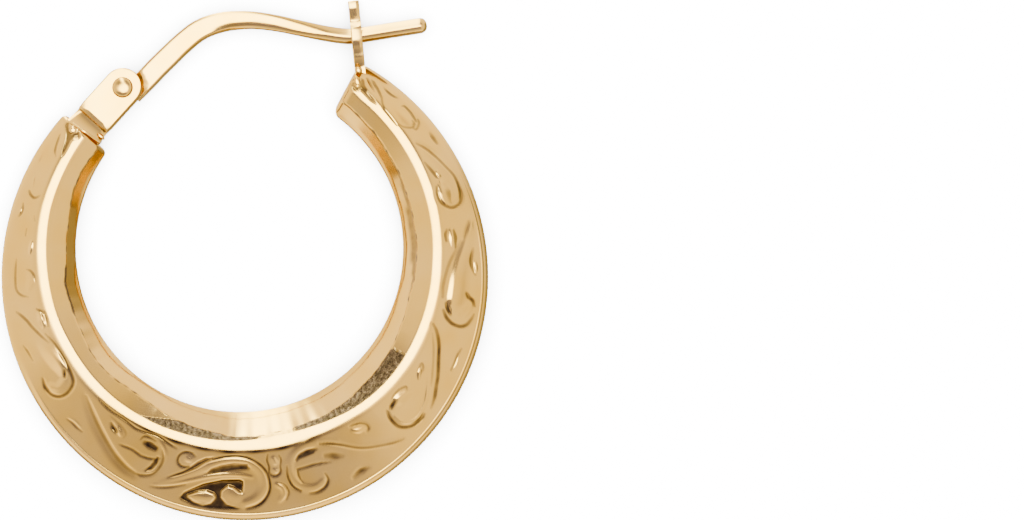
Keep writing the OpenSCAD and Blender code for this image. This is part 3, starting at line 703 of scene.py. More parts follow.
def half_thick(deg):
    """Half the hoop's thickness at its crest."""
    crest = opening_circle(OPENING_R + INNER_W, deg)
    return FOOT_HALF_T - THINNING * (-crest * np.cos(np.radians(deg)) + FOOT_CREST)


def along(table, deg):
    return np.interp(deg, *np.transpose(table))


def drop_from_crest(gone, half, bend, slope):
    """How far the face lies under the crest's middle at a distance gone from it. It is nearly flat as far
    as half, bends as far as half + bend, and then falls at the slope."""
    flat = 0.5 * CREST_TILT * np.minimum(gone, half) ** 2 / half
    into = np.clip(gone - half, 0, bend)
    bending = CREST_TILT * into + 0.5 * (slope - CREST_TILT) * into**2 / bend
    return flat + bending + slope * np.maximum(gone - half - bend, 0)


def section_lines(deg):
    """What shapes the section at places round the hoop: distances and heights in mm, and slopes."""
    s = SimpleNamespace()
    s.inside = opening_circle(OPENING_R, deg)
    s.crest = opening_circle(OPENING_R + INNER_W, deg)
    s.inner = s.crest - s.inside
    s.top = half_thick(deg)
    s.middle = along(CREST_MIDDLE, deg)
    s.half = along(CREST_HALF, deg)
    s.slope = np.tan(np.radians(along(INNER_SLOPE, deg)))
    # The flank's slope is what brings it down to the rim, which is thicker near the ends
    s.rim_top = RIM_HALF_T + RIM_SWELL * ease(np.abs(deg), 95, 140)
    run = HOOP_R - RIM_W - s.crest - s.middle
    s.bend = np.minimum(along(OUTER_BEND, deg), 0.4 * run)
    fall = s.top - s.rim_top - 0.5 * CREST_TILT * s.half - 0.5 * CREST_TILT * s.bend
    s.flank = fall / (run - s.half - 0.5 * s.bend)
    uneven = sum(high * np.sin(deg * pace + shift) for high, pace, shift in SEAM_WAVES)
    s.seam = np.maximum((1 - along(SEAM, deg) + uneven) * s.inner, CREST_ZONE + 0.08)
    return s


def rim_height(radius, deg, s):
    """The rim rolls over from the flank's slope to upright."""
    share = np.sqrt(np.clip((HOOP_R - radius) / RIM_W, 0, 1))
    knee = np.maximum(s.rim_top - RIM_W * s.flank, 0.04)
    roll = 2 * share * (1 - share) * knee + share**2 * s.rim_top
    bead = BEAD_H * np.exp(-(((radius - BEAD_R) / BEAD_W) ** 2)) * within(deg, *BEAD_DEG)
    return roll + s.flank * np.maximum(HOOP_R - RIM_W - radius, 0) + bead


def band_height(band, deg, s):
    """The inner band starts in a fine groove and ends in a rounded edge at the opening."""
    seam_z = s.top - drop_from_crest(s.seam + s.middle, s.half, INNER_BEND, s.slope)
    start_z = seam_z - GROOVE * (1 + 0.2 * np.sin(deg * 0.33))
    edge_z = np.minimum(BAND_EDGE_H, 0.35 * seam_z)
    gone = np.clip((band - BAND_GROOVE) / (BAND_EDGE - BAND_GROOVE), 0, 1)
    turn = np.clip((band - BAND_EDGE) / (1 - BAND_EDGE), 0, 1)
    round_z = edge_z * np.sqrt(np.clip(1 - turn**2, 0, 1))
    return np.where(band > BAND_EDGE, round_z, start_z - (start_z - edge_z) * gone)


def hoop_section(deg, row):
    """Radius and height of the plain section at places round the hoop and rows across it. Row 0 is the
    rim's parting line and the last row is the opening's edge."""

    def gone_by(first, last):
        return np.clip((row - first) / (last - first), 0, 1)

    s = section_lines(deg)
    rim_r = np.interp(row, range(len(RIM_ROWS)), RIM_ROWS)

    zone = np.minimum(CREST_ZONE, 0.6 * (HOOP_R - RIM_W - s.crest))
    begin = RIM_ROWS[-1] - s.crest
    on_flank = begin - gone_by(FLANK_ROW, CREST_ROW) * (begin - zone)
    flank_z = s.top - drop_from_crest(np.abs(on_flank - s.middle), s.half, s.bend, s.flank)

    on_crest = zone - gone_by(CREST_ROW, SLOPE_ROW) * (zone + CREST_ZONE)
    outer = on_crest > s.middle
    bend = np.where(outer, s.bend, INNER_BEND)
    fall = np.where(outer, s.flank, s.slope)
    crest_z = s.top - drop_from_crest(np.abs(on_crest - s.middle), s.half, bend, fall)

    into = CREST_ZONE + gone_by(SLOPE_ROW, BAND_ROW) * (s.seam - CREST_ZONE)
    slope_z = s.top - drop_from_crest(into + s.middle, s.half, INNER_BEND, s.slope)

    band = np.interp(np.maximum(row - BAND_ROW, 0), range(len(BAND_ROWS)), BAND_ROWS)
    band_r = s.crest - s.seam - band * (s.inner - s.seam)

    zones = [row <= FLANK_ROW, row <= CREST_ROW, row <= SLOPE_ROW, row <= BAND_ROW]
    radius = np.select(zones, [rim_r, s.crest + on_flank, s.crest + on_crest, s.crest - into], band_r)
    heights = [rim_height(rim_r, deg, s), flank_z, crest_z, slope_z]
    return radius, np.select(zones, heights, band_height(band, deg, s))


def solder_and_painted_shade(deg, radius):
    """How rough the solder is at places on the hoop, and how much shade is painted there."""
    s = section_lines(deg)
    into = s.crest - radius
    by_seam = np.abs(into - s.seam)
    # A strip of rough solder at the foot between the crest and the seam
    at_foot = within(deg, *STRIP_DEG) * (1 - 0.75 * ease(-np.abs(deg - 1), -9, -4))
    reach = (s.half - s.middle) + (s.seam - s.half + s.middle) * ease(deg, -50, -34)
    strip = ease(into + s.middle, s.half - 0.02, s.half + 0.06) * (1 - ease(into, reach - 0.04, reach + 0.06))
    # A thread of it along the seam, and a patch high on the hinge side
    thread = np.clip(1 - by_seam / 0.08, 0, 1) * (0.6 + 0.4 * np.sin(deg * 0.9))
    patch = within(deg, *PATCH_DEG) * np.clip(1 - by_seam / 0.16, 0, 1)
    rough = np.maximum(np.maximum(strip * at_foot, 0.8 * thread), 0.9 * patch)
    # Painted shade, for a dark reflection, goes in the bend outside the crest at the foot,
    past = radius - s.crest - s.middle - s.half
    in_bend = within(past, -0.01, 0.05, 0.1, 0.28) * (0.7 + 0.3 * np.sin(deg * 0.7))
    in_bend = in_bend * within(deg, *BEND_SHADE_DEG)
    # a painted shadow line along the seam low on the hinge side,
    at_seam = np.clip(1 - by_seam / 0.07, 0, 1) * (0.5 + 0.3 * np.sin(deg * 1.7))
    at_seam = at_seam * within(deg, *SEAM_SHADE_DEG)
    # and a painted darker, deeper gold reflection in the band's upper part high on the catch side
    deep_in = s.seam + BAND_SHADE_DEEP * within(deg, *BAND_SHADE_FULL) + 0.03
    in_band = ease(into, s.seam - 0.01, s.seam + 0.03) * (1 - ease(into, deep_in, deep_in + 0.06))
    in_band = in_band * within(deg, *BAND_SHADE_DEG)
    return rough, np.maximum(np.maximum(in_bend, 0.8 * at_seam), 0.66 * in_band)


def stations_round():
    """For each station along the hoop: its degrees, the share of the section that it keeps on the closed
    ends, and how far in mm the ends' rounded edges draw it in."""
    count = ALONG_HOOP + 1
    edge = len(CAP) - 1 + ROUND_STEPS
    begin = FIRST_DEG + math.degrees(HINGE_ROUND / HOOP_R)
    finish = LAST_DEG - math.degrees(CATCH_ROUND / HOOP_R)
    degree = np.zeros(count)
    size = np.ones(count)
    margin = np.zeros(count)
    degree[edge : count - edge] = np.linspace(begin, finish, count - 2 * edge)
    for i in range(edge):
        turn = max(0.0, (i - len(CAP) + 1) / ROUND_STEPS) * math.pi / 2
        back = ALONG_HOOP - i
        size[i] = size[back] = CAP[min(i, len(CAP) - 1)]
        margin[i] = HINGE_ROUND * (1 - math.sin(turn))
        margin[back] = CATCH_ROUND * (1 - math.sin(turn))
        degree[i] = FIRST_DEG + (begin - FIRST_DEG) * (1 - math.cos(turn))
        degree[back] = LAST_DEG - (LAST_DEG - finish) * (1 - math.cos(turn))
    return degree, size, margin


def paint(piece, name, values):
    mark = piece.data.attributes.new(name, "FLOAT", "POINT")
    mark.data.foreach_set("value", values.astype(np.float32))


def hoop_half(name, side):
    """One pressed half of the hoop: side 1 is the front one and -1 the back one."""
    piece, step, row = sheet_of(name, ALONG_HOOP, LAST_ROW)
    deg, size, margin = (values[step] for values in stations_round())
    radius, height = hoop_section(deg, row.astype(float))
    # The second value is painted shade for the bend, seam and band
    rough, shade_in_bend_seam_band = solder_and_painted_shade(deg, radius)
    # The closed ends: the section shrinks towards its middle
    inside = opening_circle(OPENING_R, deg)
    middle = (HOOP_R + inside) / 2
    half_w = (HOOP_R - inside) / 2
    half_h = half_thick(deg)
    radius = middle + (radius - middle) * (1 - margin / half_w) * size
    keep_h = (1 - margin / half_h) * size
    x = radius * np.sin(np.radians(deg))
    y = -radius * np.cos(np.radians(deg))
    off_end = ease(size, 0.9, 1.0)
    on_face = within(row, FLANK_ROW - 4, FLANK_ROW + 2, BAND_ROW - 1, BAND_ROW + 1) * off_end
    relief, shade_and_polish = charted_relief(x, y)
    waves = ripples(x, y, *SLOW_WAVES) + ripples(x, y, *QUICK_WAVES)
    grit = ripples(x, y, *SOLDER_GRIT) * rough * (1 - ease(row, BAND_ROW - 2, BAND_ROW))
    z = np.minimum((height + (relief + waves + grit) * on_face) * keep_h, half_h)
    z[(row == 0) | (row == LAST_ROW)] = 0.0
    press(piece, np.stack([x, y, side * z], axis=1))
    paint(piece, "solder", rough)
    # Painted shade: in the recesses, with some dark polish, and in the bend, along the seam and in the band
    paint(piece, "polish_and_painted_shade", np.maximum(shade_and_polish * on_face, shade_in_bend_seam_band * off_end))
    close_up(piece)
    smooth(piece)
    return piece


# Small helpers for materials and light. A colour is given as red, green and blue
def feed(tree, socket, value):
    """Links an output to a socket, or sets a number or a colour on it."""
    if isinstance(value, bpy.types.NodeSocket):
        tree.links.new(value, socket)
    elif isinstance(value, tuple):
        socket.default_value = (*value, 1.0)
    else:
        socket.default_value = value


def calc(tree, operation, *values):
    node = tree.nodes.new("ShaderNodeMath")
    node.operation = operation
    for socket, value in zip(node.inputs, values):
        feed(tree, socket, value)
    return node.outputs[0]


def to_range(tree, value, low, high, from_low=0.3, from_high=0.7, kind="LINEAR"):
    node = tree.nodes.new("ShaderNodeMapRange")
    node.interpolation_type = kind
    node.inputs["From Min"].default_value = from_low
    node.inputs["From Max"].default_value = from_high
    node.inputs["To Min"].default_value = low
    node.inputs["To Max"].default_value = high
    feed(tree, node.inputs["Value"], value)
    return node.outputs["Result"]


def blend(tree, share, first, second):
    """Goes from one colour to another."""
    node = tree.nodes.new("ShaderNodeMix")
    node.data_type = "RGBA"
    feed(tree, node.inputs[0], share)
    feed(tree, node.inputs[6], first)
    feed(tree, node.inputs[7], second)
    return node.outputs[2]


def noise(tree, scale, detail, stretch=(1.0, 1.0, 1.0)):
    """Noise that stays on the piece, as its own coordinates do."""
    place = tree.nodes.new("ShaderNodeTexCoord")
    mapping = tree.nodes.new("ShaderNodeMapping")
    mapping.inputs["Scale"].default_value = stretch
    texture = tree.nodes.new("ShaderNodeTexNoise")
    texture.inputs["Scale"].default_value = scale
    texture.inputs["Detail"].default_value = detail
    tree.links.new(place.outputs["Object"], mapping.inputs["Vector"])
    tree.links.new(mapping.outputs["Vector"], texture.inputs["Vector"])
    return texture.outputs["Fac"]


def painted(tree, name):
    node = tree.nodes.new("ShaderNodeAttribute")
    node.attribute_name = name
    return node.outputs["Fac"]


def roughen(tree, shader, height, strength, depth):
    """Fine unevenness of the surface."""
    bump = tree.nodes.new("ShaderNodeBump")
    bump.inputs["Strength"].default_value = strength
    bump.inputs["Distance"].default_value = depth
    tree.links.new(height, bump.inputs["Height"])
    tree.links.new(bump.outputs["Normal"], shader.inputs["Normal"])


# Metals
GOLD = (0.95, 0.572, 0.165)
DEEP_GOLD = (0.93, 0.532, 0.118)
SOLDER = (0.28, 0.18, 0.09)
DARK_SOLDER = (0.11, 0.07, 0.032)
# Colour of the painted shade and dark polish
SHADE_AND_POLISH_COLOUR = (0.075, 0.042, 0.022)
SOLDER_ROUGHNESS = 0.3
POLISH_ROUGHNESS = (0.12, 0.19)
# Noises, by scale and detail
CLOUDS = (420.0, 2.0)
SHINE = (900.0, 4.0)
HAIRLINES = (9000.0, 3.0)
GRIT = (5200.0, 5.0)
PATCHES = (2600.0, 3.0)
# Bumps, by strength and depth in metres
HAIRLINE_BUMP = (0.05, 0.00001)
GRIT_BUMP = (0.6, 0.00004)


def new_metal(name):
    metal = bpy.data.materials.new(name)
    metal.use_nodes = True
    shader = metal.node_tree.nodes["Principled BSDF"]
    shader.inputs["Metallic"].default_value = 1.0
    return metal, metal.node_tree, shader


def gold_colour(tree):
    """Yellow gold with a faint cloudiness."""
    return blend(tree, to_range(tree, noise(tree, *CLOUDS), 0.0, 1.0), GOLD, DEEP_GOLD)


def polish(tree):
    """A slightly uneven shine."""
    return to_range(tree, noise(tree, *SHINE), *POLISH_ROUGHNESS)


def polished_gold(name, stretch=(1.0, 1.0, 1.0)):
    """Polished gold with fine hairlines, which are long where it is stretched."""
    metal, tree, shader = new_metal(name)
    feed(tree, shader.inputs["Base Color"], gold_colour(tree))
    feed(tree, shader.inputs["Roughness"], polish(tree))
    roughen(tree, shader, noise(tree, *HAIRLINES, stretch), *HAIRLINE_BUMP)
    return metal


def pressed_gold(name):
    """Polished gold that turns rough and brown where solder is painted on, and dark where shade and dark
    polish are painted: in the recesses, and in places along the crest, seam and band.
    """
    metal, tree, shader = new_metal(name)
    grit = noise(tree, *GRIT)
    solder = blend(tree, to_range(tree, grit, 0.0, 1.0, 0.35, 0.7), DARK_SOLDER, SOLDER)
    # The solder's edge is ragged
    ragged = calc(tree, "ADD", painted(tree, "solder"), calc(tree, "MULTIPLY_ADD", grit, 0.5, -0.25))
    soldered = to_range(tree, ragged, 0.0, 1.0, 0.45, 0.8)
    plain = blend(tree, soldered, gold_colour(tree), solder)
    # Painted shade, with some dark polish, in the recesses and along the crest, seam and band, a little
    # uneven
    patchy = to_range(tree, noise(tree, *PATCHES), 0.8, 1.0)
    shade_and_polish_share = calc(tree, "MULTIPLY", painted(tree, "polish_and_painted_shade"), patchy)
    feed(tree, shader.inputs["Base Color"], blend(tree, shade_and_polish_share, plain, SHADE_AND_POLISH_COLOUR))
    rough = tree.nodes.new("ShaderNodeMix")
    feed(tree, rough.inputs[0], soldered)
    feed(tree, rough.inputs[2], polish(tree))
    feed(tree, rough.inputs[3], SOLDER_ROUGHNESS)
    feed(tree, shader.inputs["Roughness"], rough.outputs[0])
    roughen(tree, shader, calc(tree, "MULTIPLY", soldered, grit), *GRIT_BUMP)
    return metal


pressed = pressed_gold("pressed gold with soldered seam")
polished = polished_gold("polished gold")
drawn = polished_gold("drawn gold wire", (0.12, 1.0, 1.0))

# The hoop
settle(hoop_half("hoop_front", 1), "hoop", "hoop", pressed)
settle(hoop_half("hoop_back", -1), "hoop", "hoop", pressed)


# The hinge fork, in its own axes: X runs from the hoop's end towards the hinge axis at 0, and Y across it
TO_FORK = Matrix.Translation(HINGE_AT) @ turned(FORK_DEG)
HALF_FORK = FORK_W / 2
FOOT_WAVES = (0.012, 5, 21)


def cheek_outline():
    turn = np.linspace(-math.pi / 2, math.pi / 2, 41)
    rounded = [(HALF_FORK * math.cos(t), HALF_FORK * math.sin(t)) for t in turn]
    left = [(-FORK_DROP * s, HALF_FORK) for s in (0.3, 0.6, 0.85)]
    fold = [(-FORK_DROP, HALF_FORK * s) for s in (0.97, 0.5, 0.0, -0.5, -0.97)]
    right = [(x, -y) for x, y in reversed(left)]
    return rounded + left + fold + right


def cheek_edge(place, out):
    """How far in and how far down the cheek's filed edge goes: wide at the fold, steep on the right."""
    if place.x < -FORK_DROP + 0.01:
        return (0.24, 0.09) if abs(place.y) < 0.9 * HALF_FORK else (0.1, 0.09)
    side = max(0.0, -out.y) ** 2
    return 0.035 + 0.085 * side, 0.05 + 0.11 * side


def fork_cheek(side):
    cheek = filed_plate("cheek", cheek_outline(), FORK_T, cheek_edge)
    soften(cheek, 0.012, 2, 25)
    move_mesh(cheek, Matrix.Translation((0, 0, FORK_IN + FORK_T / 2)))
    if side < 0:
        move_mesh(cheek, Matrix.Diagonal((1, 1, -1, 1)))
        close_up(cheek, 1e-7)
    return cheek


def hinge_fork():
    back = -FORK_DROP + 0.01
    front = -FORK_DROP + FORK_T
    half = HALF_FORK - 0.03
    fold = [(back, -half), (front, -half), (front, half), (back, half)]
    wall = plate("fold", fold, 2 * FORK_IN + 0.1)
    fork = join("hinge_fork", [fork_cheek(1), fork_cheek(-1), wall])
    move_mesh(fork, TO_FORK)
    smooth(fork, 14)
    return fork


def fork_foot():
    """The solder that climbs from the fold's foot up the hoop's closed end: two like sheets, bridged."""
    back = -3.12
    front = -2.0
    half_across = 12
    last_row = 30
    sheets = []
    for name, side in (("fork_foot", 1), ("fork_foot_under", -1)):
        sheet, step, row = sheet_of(name, 2 * half_across, last_row)
        share = np.clip((row - 2) / (last_row - 4), 0, 1)
        x = front - share * (front - back)
        # It spreads on the left as it comes to the hoop
        flare = np.where(step < half_across, 0.16, 0.0) * share**1.5 * (1 - ease(share, 0.8, 1.0) * 0.8)
        half_w = (0.98 - 0.04 * np.sin(share * math.pi) + flare) * ((row > 0) & (row < last_row))
        off_middle = step / half_across - 1
        y = off_middle * half_w
        top = 0.3 + 0.02 * share + 0.5 * share**2.4 + ripples(x, y, *FOOT_WAVES)
        top = top * (1 - 0.3 * np.abs(off_middle) ** 6) * ((row > 1) & (row < last_row - 1))
        press(sheet, np.stack([x, y, side * top], axis=1))
        sheets.append(sheet)
    foot = join("fork_foot", sheets)
    with editing(foot, "DESELECT"):
        bpy.ops.mesh.select_non_manifold()
        bpy.ops.mesh.bridge_edge_loops()
    close_up(foot, 1e-6)
    move_mesh(foot, TO_FORK)
    smooth(foot, 40)
    return foot


def end_plate():
    """A thin plate that closes the hoop's hinge end, a little proud of the pressings."""
    outer_r = 12.2
    inner_r = 10.1
    rows = [0, 4, 8, 10, 16, 24, 32, 40, 48, 57, 63, 69, 75, 81, 87, 93, 97, 99, 101, 103, 105, LAST_ROW]
    radius, height = hoop_section(np.full(len(rows), FIRST_DEG + 1.6), np.array(rows, float))
    middle = (radius.max() + radius.min()) / 2
    front = [(min(max(r, inner_r), outer_r) - middle, max(h, 0.05) * 0.985) for r, h in zip(radius, height)]
    piece = plate("end_plate", front + [(x, -y) for x, y in reversed(front)], 0.13)
    soften(piece, 0.03)
    # It stands across the hoop's end, a little askew
    end = math.radians(FIRST_DEG)
    out = Vector((math.sin(end), -math.cos(end), 0))
    ahead = Vector((math.cos(end), math.sin(end), 0))
    skew = math.radians(8)
    width = out * math.cos(skew) + ahead * math.sin(skew)
    depth = ahead * math.cos(skew) - out * math.sin(skew)
    stand = Matrix((width, Vector((0, 0, 1)), depth)).transposed().to_4x4()
    stand.translation = out * middle - ahead * 0.02
    move_mesh(piece, stand)
    close_up(piece, 1e-7)
    smooth(piece, 30)
    return piece


settle(hinge_fork(), "hoop", "hoop", polished)
settle(fork_foot(), "hoop", "hoop", polished)
settle(end_plate(), "hoop", "hoop", polished)


# The rivet
SHANK_R = 0.3
# Radius and height of a head's profile, from its middle to its rim
DOME = [
    (0.0, 0.22), (0.1, 0.219), (0.2, 0.2145), (0.29, 0.205), (0.36, 0.188), (0.42, 0.163), (0.47, 0.128),
    (0.508, 0.08), (0.526, 0.035), (0.53, 0.0),
]


def domed_rivet():
    """Two low heads on one shank, turned as a single profile."""
    reach = FORK_OUT + 0.01
    profile = [(r, -reach - h) for r, h in DOME] + [(SHANK_R, -reach), (SHANK_R, reach)]
    profile += [(r, reach + h) for r, h in reversed(DOME)]
    around = 96
    piece, step, row = sheet_of("hinge_rivet", around, len(profile) - 1)
    turn = step / around * math.tau
    radius, height = np.transpose(profile)
    press(piece, np.stack([radius[row] * np.cos(turn), radius[row] * np.sin(turn), height[row]], axis=1))
    close_up(piece)
    # The front head was set a little off its middle
    for vertex in piece.data.vertices:
        if vertex.co.z > reach:
            fade = 1 - float(ease(math.hypot(vertex.co.x, vertex.co.y), 0.4, 0.53))
            vertex.co.z -= 0.05 * fade * (0.8 * vertex.co.y - 0.6 * vertex.co.x)
    smooth(piece, 50)
    move_mesh(piece, Matrix.Translation(HINGE_AT))
    return piece


settle(domed_rivet(), "hoop", "hinge_rivet", polished)

# The ear wire's middle line: share of the way from hinge to eye, share of the arch's rise, how far its
# width has gone from strip to wire, and how far it has become round
ARCH = [
    (0.03, -0.19, 0, 0), (0.103, 0.07, 0, 0), (0.155, 0.27, 0, 0), (0.21, 0.465, 0, 0),
    (0.275, 0.69, 0.05, 0), (0.338, 0.875, 0.1, 0), (0.38, 0.955, 0.16, 0), (0.426, 0.995, 0.24, 0),
    (0.47, 1, 0.34, 0), (0.51, 0.98, 0.46, 0.05), (0.59, 0.89, 0.69, 0.2), (0.68, 0.71, 0.86, 0.45),
    (0.77, 0.48, 0.95, 0.75), (0.88, 0.2, 1, 1), (0.955, 0.045, 1, 1), (1.0, 0.0, 1, 1),
]
TIP_L = 0.36
TIP_STEPS = 10
POST_STEPS = 24
# Half the strip's thickness where it is filed down beside the tongue, and how far from the pivot that ends
FILED_HALF_T = 0.24
SHOULDER_AT = 0.96
# How square the strip's corners are, where 1 is round
SQUARENESS = 4.6


def wire_line():
    """The wire's middle line, its direction, and the share of its section that is left at its ends."""
    line = flowing(np.array(ARCH) * (WIRE_SPAN, ARCH_RISE, 1, 1), 12)
    tilt = math.radians(POST_TILT)
    post = []
    for i in range(1, POST_STEPS + 1):
        far = (POST_L - TIP_L) * i / POST_STEPS
        post.append((WIRE_SPAN + far * math.cos(tilt), far * math.sin(tilt), 1, 1))
    line = np.vstack([line, post])
    way = np.gradient(line[:, :2], axis=0)
    way /= np.linalg.norm(way, axis=1)[:, None]
    # The rounded tip of the post, and the closed start inside the fork
    turn = np.linspace(0, math.pi / 2, TIP_STEPS + 1)[1:]
    tip = np.ones((TIP_STEPS, 4))
    tip[:, :2] = line[-1, :2] + np.outer(TIP_L * np.sin(turn), way[-1])
    shrink = np.concatenate([[0.0], np.ones(len(line)), np.cos(turn) ** 0.85])
    way = np.vstack([way[0], way, np.tile(way[-1], (TIP_STEPS, 1))])
    return np.vstack([line[0], line, tip]), way, shrink


def rounded_square(share, power, half):
    """A section's coordinate at a sine or cosine: a circle for power 1, and squarer below it."""
    return np.sign(share) * np.abs(share) ** power * half


def ear_wire():
    line, way, shrink = wire_line()
    around = 56
    piece, step, row = sheet_of("ear_wire", around, len(line) - 1)
    turn = step / around * math.tau
    side = np.cos(turn)
    far, rise, thin, round_share = line[row].T
    way_x, way_y = way[row].T
    round_share = np.clip(round_share, 0, 1)
    half_w = (STRIP_W + thin * (2 * POST_R - STRIP_W)) / 2
    power = 1 / (SQUARENESS - (SQUARENESS - 1) * round_share)
    across = rounded_square(side, power, half_w)
    # Near the hinge the strip is filed down to the tongue, in a short ragged shoulder
    from_pivot = np.hypot(far - way_y * across, rise + way_x * across)
    from_pivot = np.where(far > 0.3, from_pivot, 0.0)
    start = from_pivot + 0.03 * np.sin(side * 9 + 1) + 0.02 * np.sin(side * 21)
    shoulder = np.clip((start - SHOULDER_AT) / (0.3 + 0.1 * side), 0, 1)
    half_d = FILED_HALF_T + (STRIP_T / 2 - FILED_HALF_T) * shoulder + round_share * (POST_R - STRIP_T / 2)
    depth = rounded_square(np.sin(turn), power, half_d)
    # Its lower front edge is filed off, more and more towards the catch
    filed = 0.13 + 0.14 * np.clip(thin, 0, 1)
    bevel = (1 - round_share) * np.clip((-across - (half_w - filed)) / filed, 0, 1) * (depth > 0)
    depth = depth - 0.17 * bevel
    keep = shrink[row]
    press(piece, np.stack([far - way_y * across * keep, rise + way_x * across * keep, depth * keep], axis=1))
    close_up(piece)
    smooth(piece, 60)
    # The tongue: a disc between the cheeks, in the strip's foot
    turn = np.linspace(0, math.tau, 64, endpoint=False)
    tongue = plate("tongue", [(TONGUE_R * math.cos(t), TONGUE_R * math.sin(t)) for t in turn], TONGUE_T)
    soften(tongue, 0.04)
    smooth(tongue, 40)
    whole = join("ear_wire", [piece, tongue])
    move_mesh(whole, Matrix.Translation(HINGE_AT) @ turned(WIRE_TURN))
    return whole


settle(ear_wire(), "ear_wire", "ear_wire", drawn)

# The catch's outer side, out from its middle and up, in mm: root, bulge round the eye, waist and flared tip
CATCH_OUTER = [
    (0, -0.7), (0.5, -0.7), (0.52, 0.05), (0.57, 0.22), (0.64, 0.42), (0.7, 0.55), (0.72, 0.66),
    (0.735, 0.76), (0.8, 0.96), (0.87, 1.14), (0.925, 1.32), (0.945, 1.42), (0.95, 1.5), (0.95, 1.72),
    (0.945, 1.95), (0.93, 2.08), (0.86, 2.16), (0.78, 2.3), (0.75, 2.4), (0.77, 2.55), (0.82, 2.78),
    (0.865, 3.0), (0.88, 3.08), (0.885, 3.3), (0.86, 3.4), (0.8, CATCH_H),
]
CATCH_STEPS = 90
CATCH_SOFT = 0.05


def spread(points, count):
    """So many points, evenly spaced along a path."""
    path = np.array(points, float)
    gone = np.concatenate([[0.0], np.cumsum(np.hypot(*np.diff(path, axis=0).T))])
    at = np.linspace(0, gone[-1], count)
    return np.stack([np.interp(at, gone, path[:, 0]), np.interp(at, gone, path[:, 1])], axis=1)


def catch():
    """An upright plate with a round eye that opens upwards between two prongs."""
    # Its inner side: round the eye from the lowest point, and up the mouth to the tip
    mouth = POST_R + MOUTH_ROOM
    turn = np.linspace(-math.pi / 2, math.radians(12), 16)
    inner = [(EYE_R * math.cos(t), EYE_H + EYE_R * math.sin(t)) for t in turn]
    inner += [(mouth, 1.9), (mouth, 2.6), (mouth + 0.06, 2.9), (0.7, 3.36), (0.75, 3.43), (0.8, CATCH_H)]
    sides = []
    for path in (CATCH_OUTER, inner):
        right = spread(path, CATCH_STEPS + 1)
        sides.append(np.vstack([right[:0:-1] * (-1, 1), right]))
    last = 2 * CATCH_STEPS
    piece, corner, station = sheet_of("catch", 8, last)
    start = sides[0][station]
    across = sides[1][station] - start
    width = np.hypot(across[:, 0], across[:, 1])
    across = across / np.maximum(width, 1e-6)[:, None]
    # The edge towards the post's tip is filed off along both prongs
    on_prong = (np.abs(start[:, 0]) > 0.45) & (station > 0) & (station < last)
    filed = np.where(on_prong, 0.15, CATCH_SOFT)
    outer_soft = np.minimum(np.where(on_prong, 0.07, CATCH_SOFT), 0.4 * width)
    inner_soft = width - np.minimum(CATCH_SOFT, 0.4 * width)
    # The strip's section by corners: up the outer face, over the front, down the inner face and back
    top = CATCH_T / 2
    far_in = np.choose(corner % 8, [0, 0, outer_soft, inner_soft, width, width, inner_soft, outer_soft])
    heights = [CATCH_SOFT - top, top - filed, top, top, top - CATCH_SOFT, CATCH_SOFT - top, -top, -top]
    press(piece, np.column_stack([start + across * far_in[:, None], np.choose(corner % 8, heights)]))
    close_up(piece)
    stand = Matrix(((0, 0, 1, 0), (0, 1, 0, 0), (-1, 0, 0, 0), (0, 0, 0, 1)))
    move_mesh(piece, Matrix.Translation(CATCH_AT) @ turned(-CATCH_LEAN) @ stand)
    smooth(piece, 16)
    return piece


settle(catch(), "hoop", "hoop", polished)

# Drops of solder: name, middle in pixels of the photograph, height in mm over the middle plane, width,
# length and depth in mm, and turn in degrees
SOLDER_DROPS = [
    ("solder_hinge_drop", (100.9, 136.4), 0.3, (0.24, 0.5, 0.44), 40),
    ("solder_hinge_crest", (73.8, 130.4), 0.89, (0.46, 0.44, 0.44), 30),
    ("solder_catch_crest", (357.6, 82.6), 0.86, (0.34, 0.86, 0.54), 4),
    ("solder_catch_root", (358.6, 70.5), 0.55, (0.38, 0.5, 0.7), 0),
]


def solder_drop(name, middle_px, z, size, degrees):
    """A small flowed drop: a ball pulled long, laid on the metal."""
    drop_selection()
    bpy.ops.mesh.primitive_uv_sphere_add(segments=32, ring_count=20, radius=1.0)
    piece = named(name)
    # It flattens as it flows
    for vertex in piece.data.vertices:
        flow = min(1.0, vertex.co.x**2 + vertex.co.y**2)
        vertex.co.z = math.copysign(math.sqrt(1 - flow**2), vertex.co.z)
    move_mesh(piece, Matrix.Diagonal((*(length / 2 for length in size), 1.0)))
    x, y = on_hoop(*middle_px)
    move_mesh(piece, Matrix.Translation((x, y, z)) @ turned(degrees))
    smooth(piece)
    return piece


for drop in SOLDER_DROPS:
    settle(solder_drop(*drop), "hoop", "hoop", polished)

# The floor
drop_selection()
bpy.ops.mesh.primitive_plane_add(size=4.0, location=(0, 0, 0))
floor = named("floor")
paper = bpy.data.materials.new("pale paper")
paper.use_nodes = True
paper_tree = paper.node_tree
paper_shader = paper_tree.nodes["Principled BSDF"]
paper_grain = to_range(paper_tree, noise(paper_tree, 900.0, 3.0), 0.0, 1.0)
paper_white = blend(paper_tree, paper_grain, (0.9, 0.9, 0.9), (0.92, 0.92, 0.92))
feed(paper_tree, paper_shader.inputs["Base Color"], paper_white)
paper_shader.inputs["Roughness"].default_value = 0.9
floor.data.materials.append(paper)
floor.visible_glossy = False

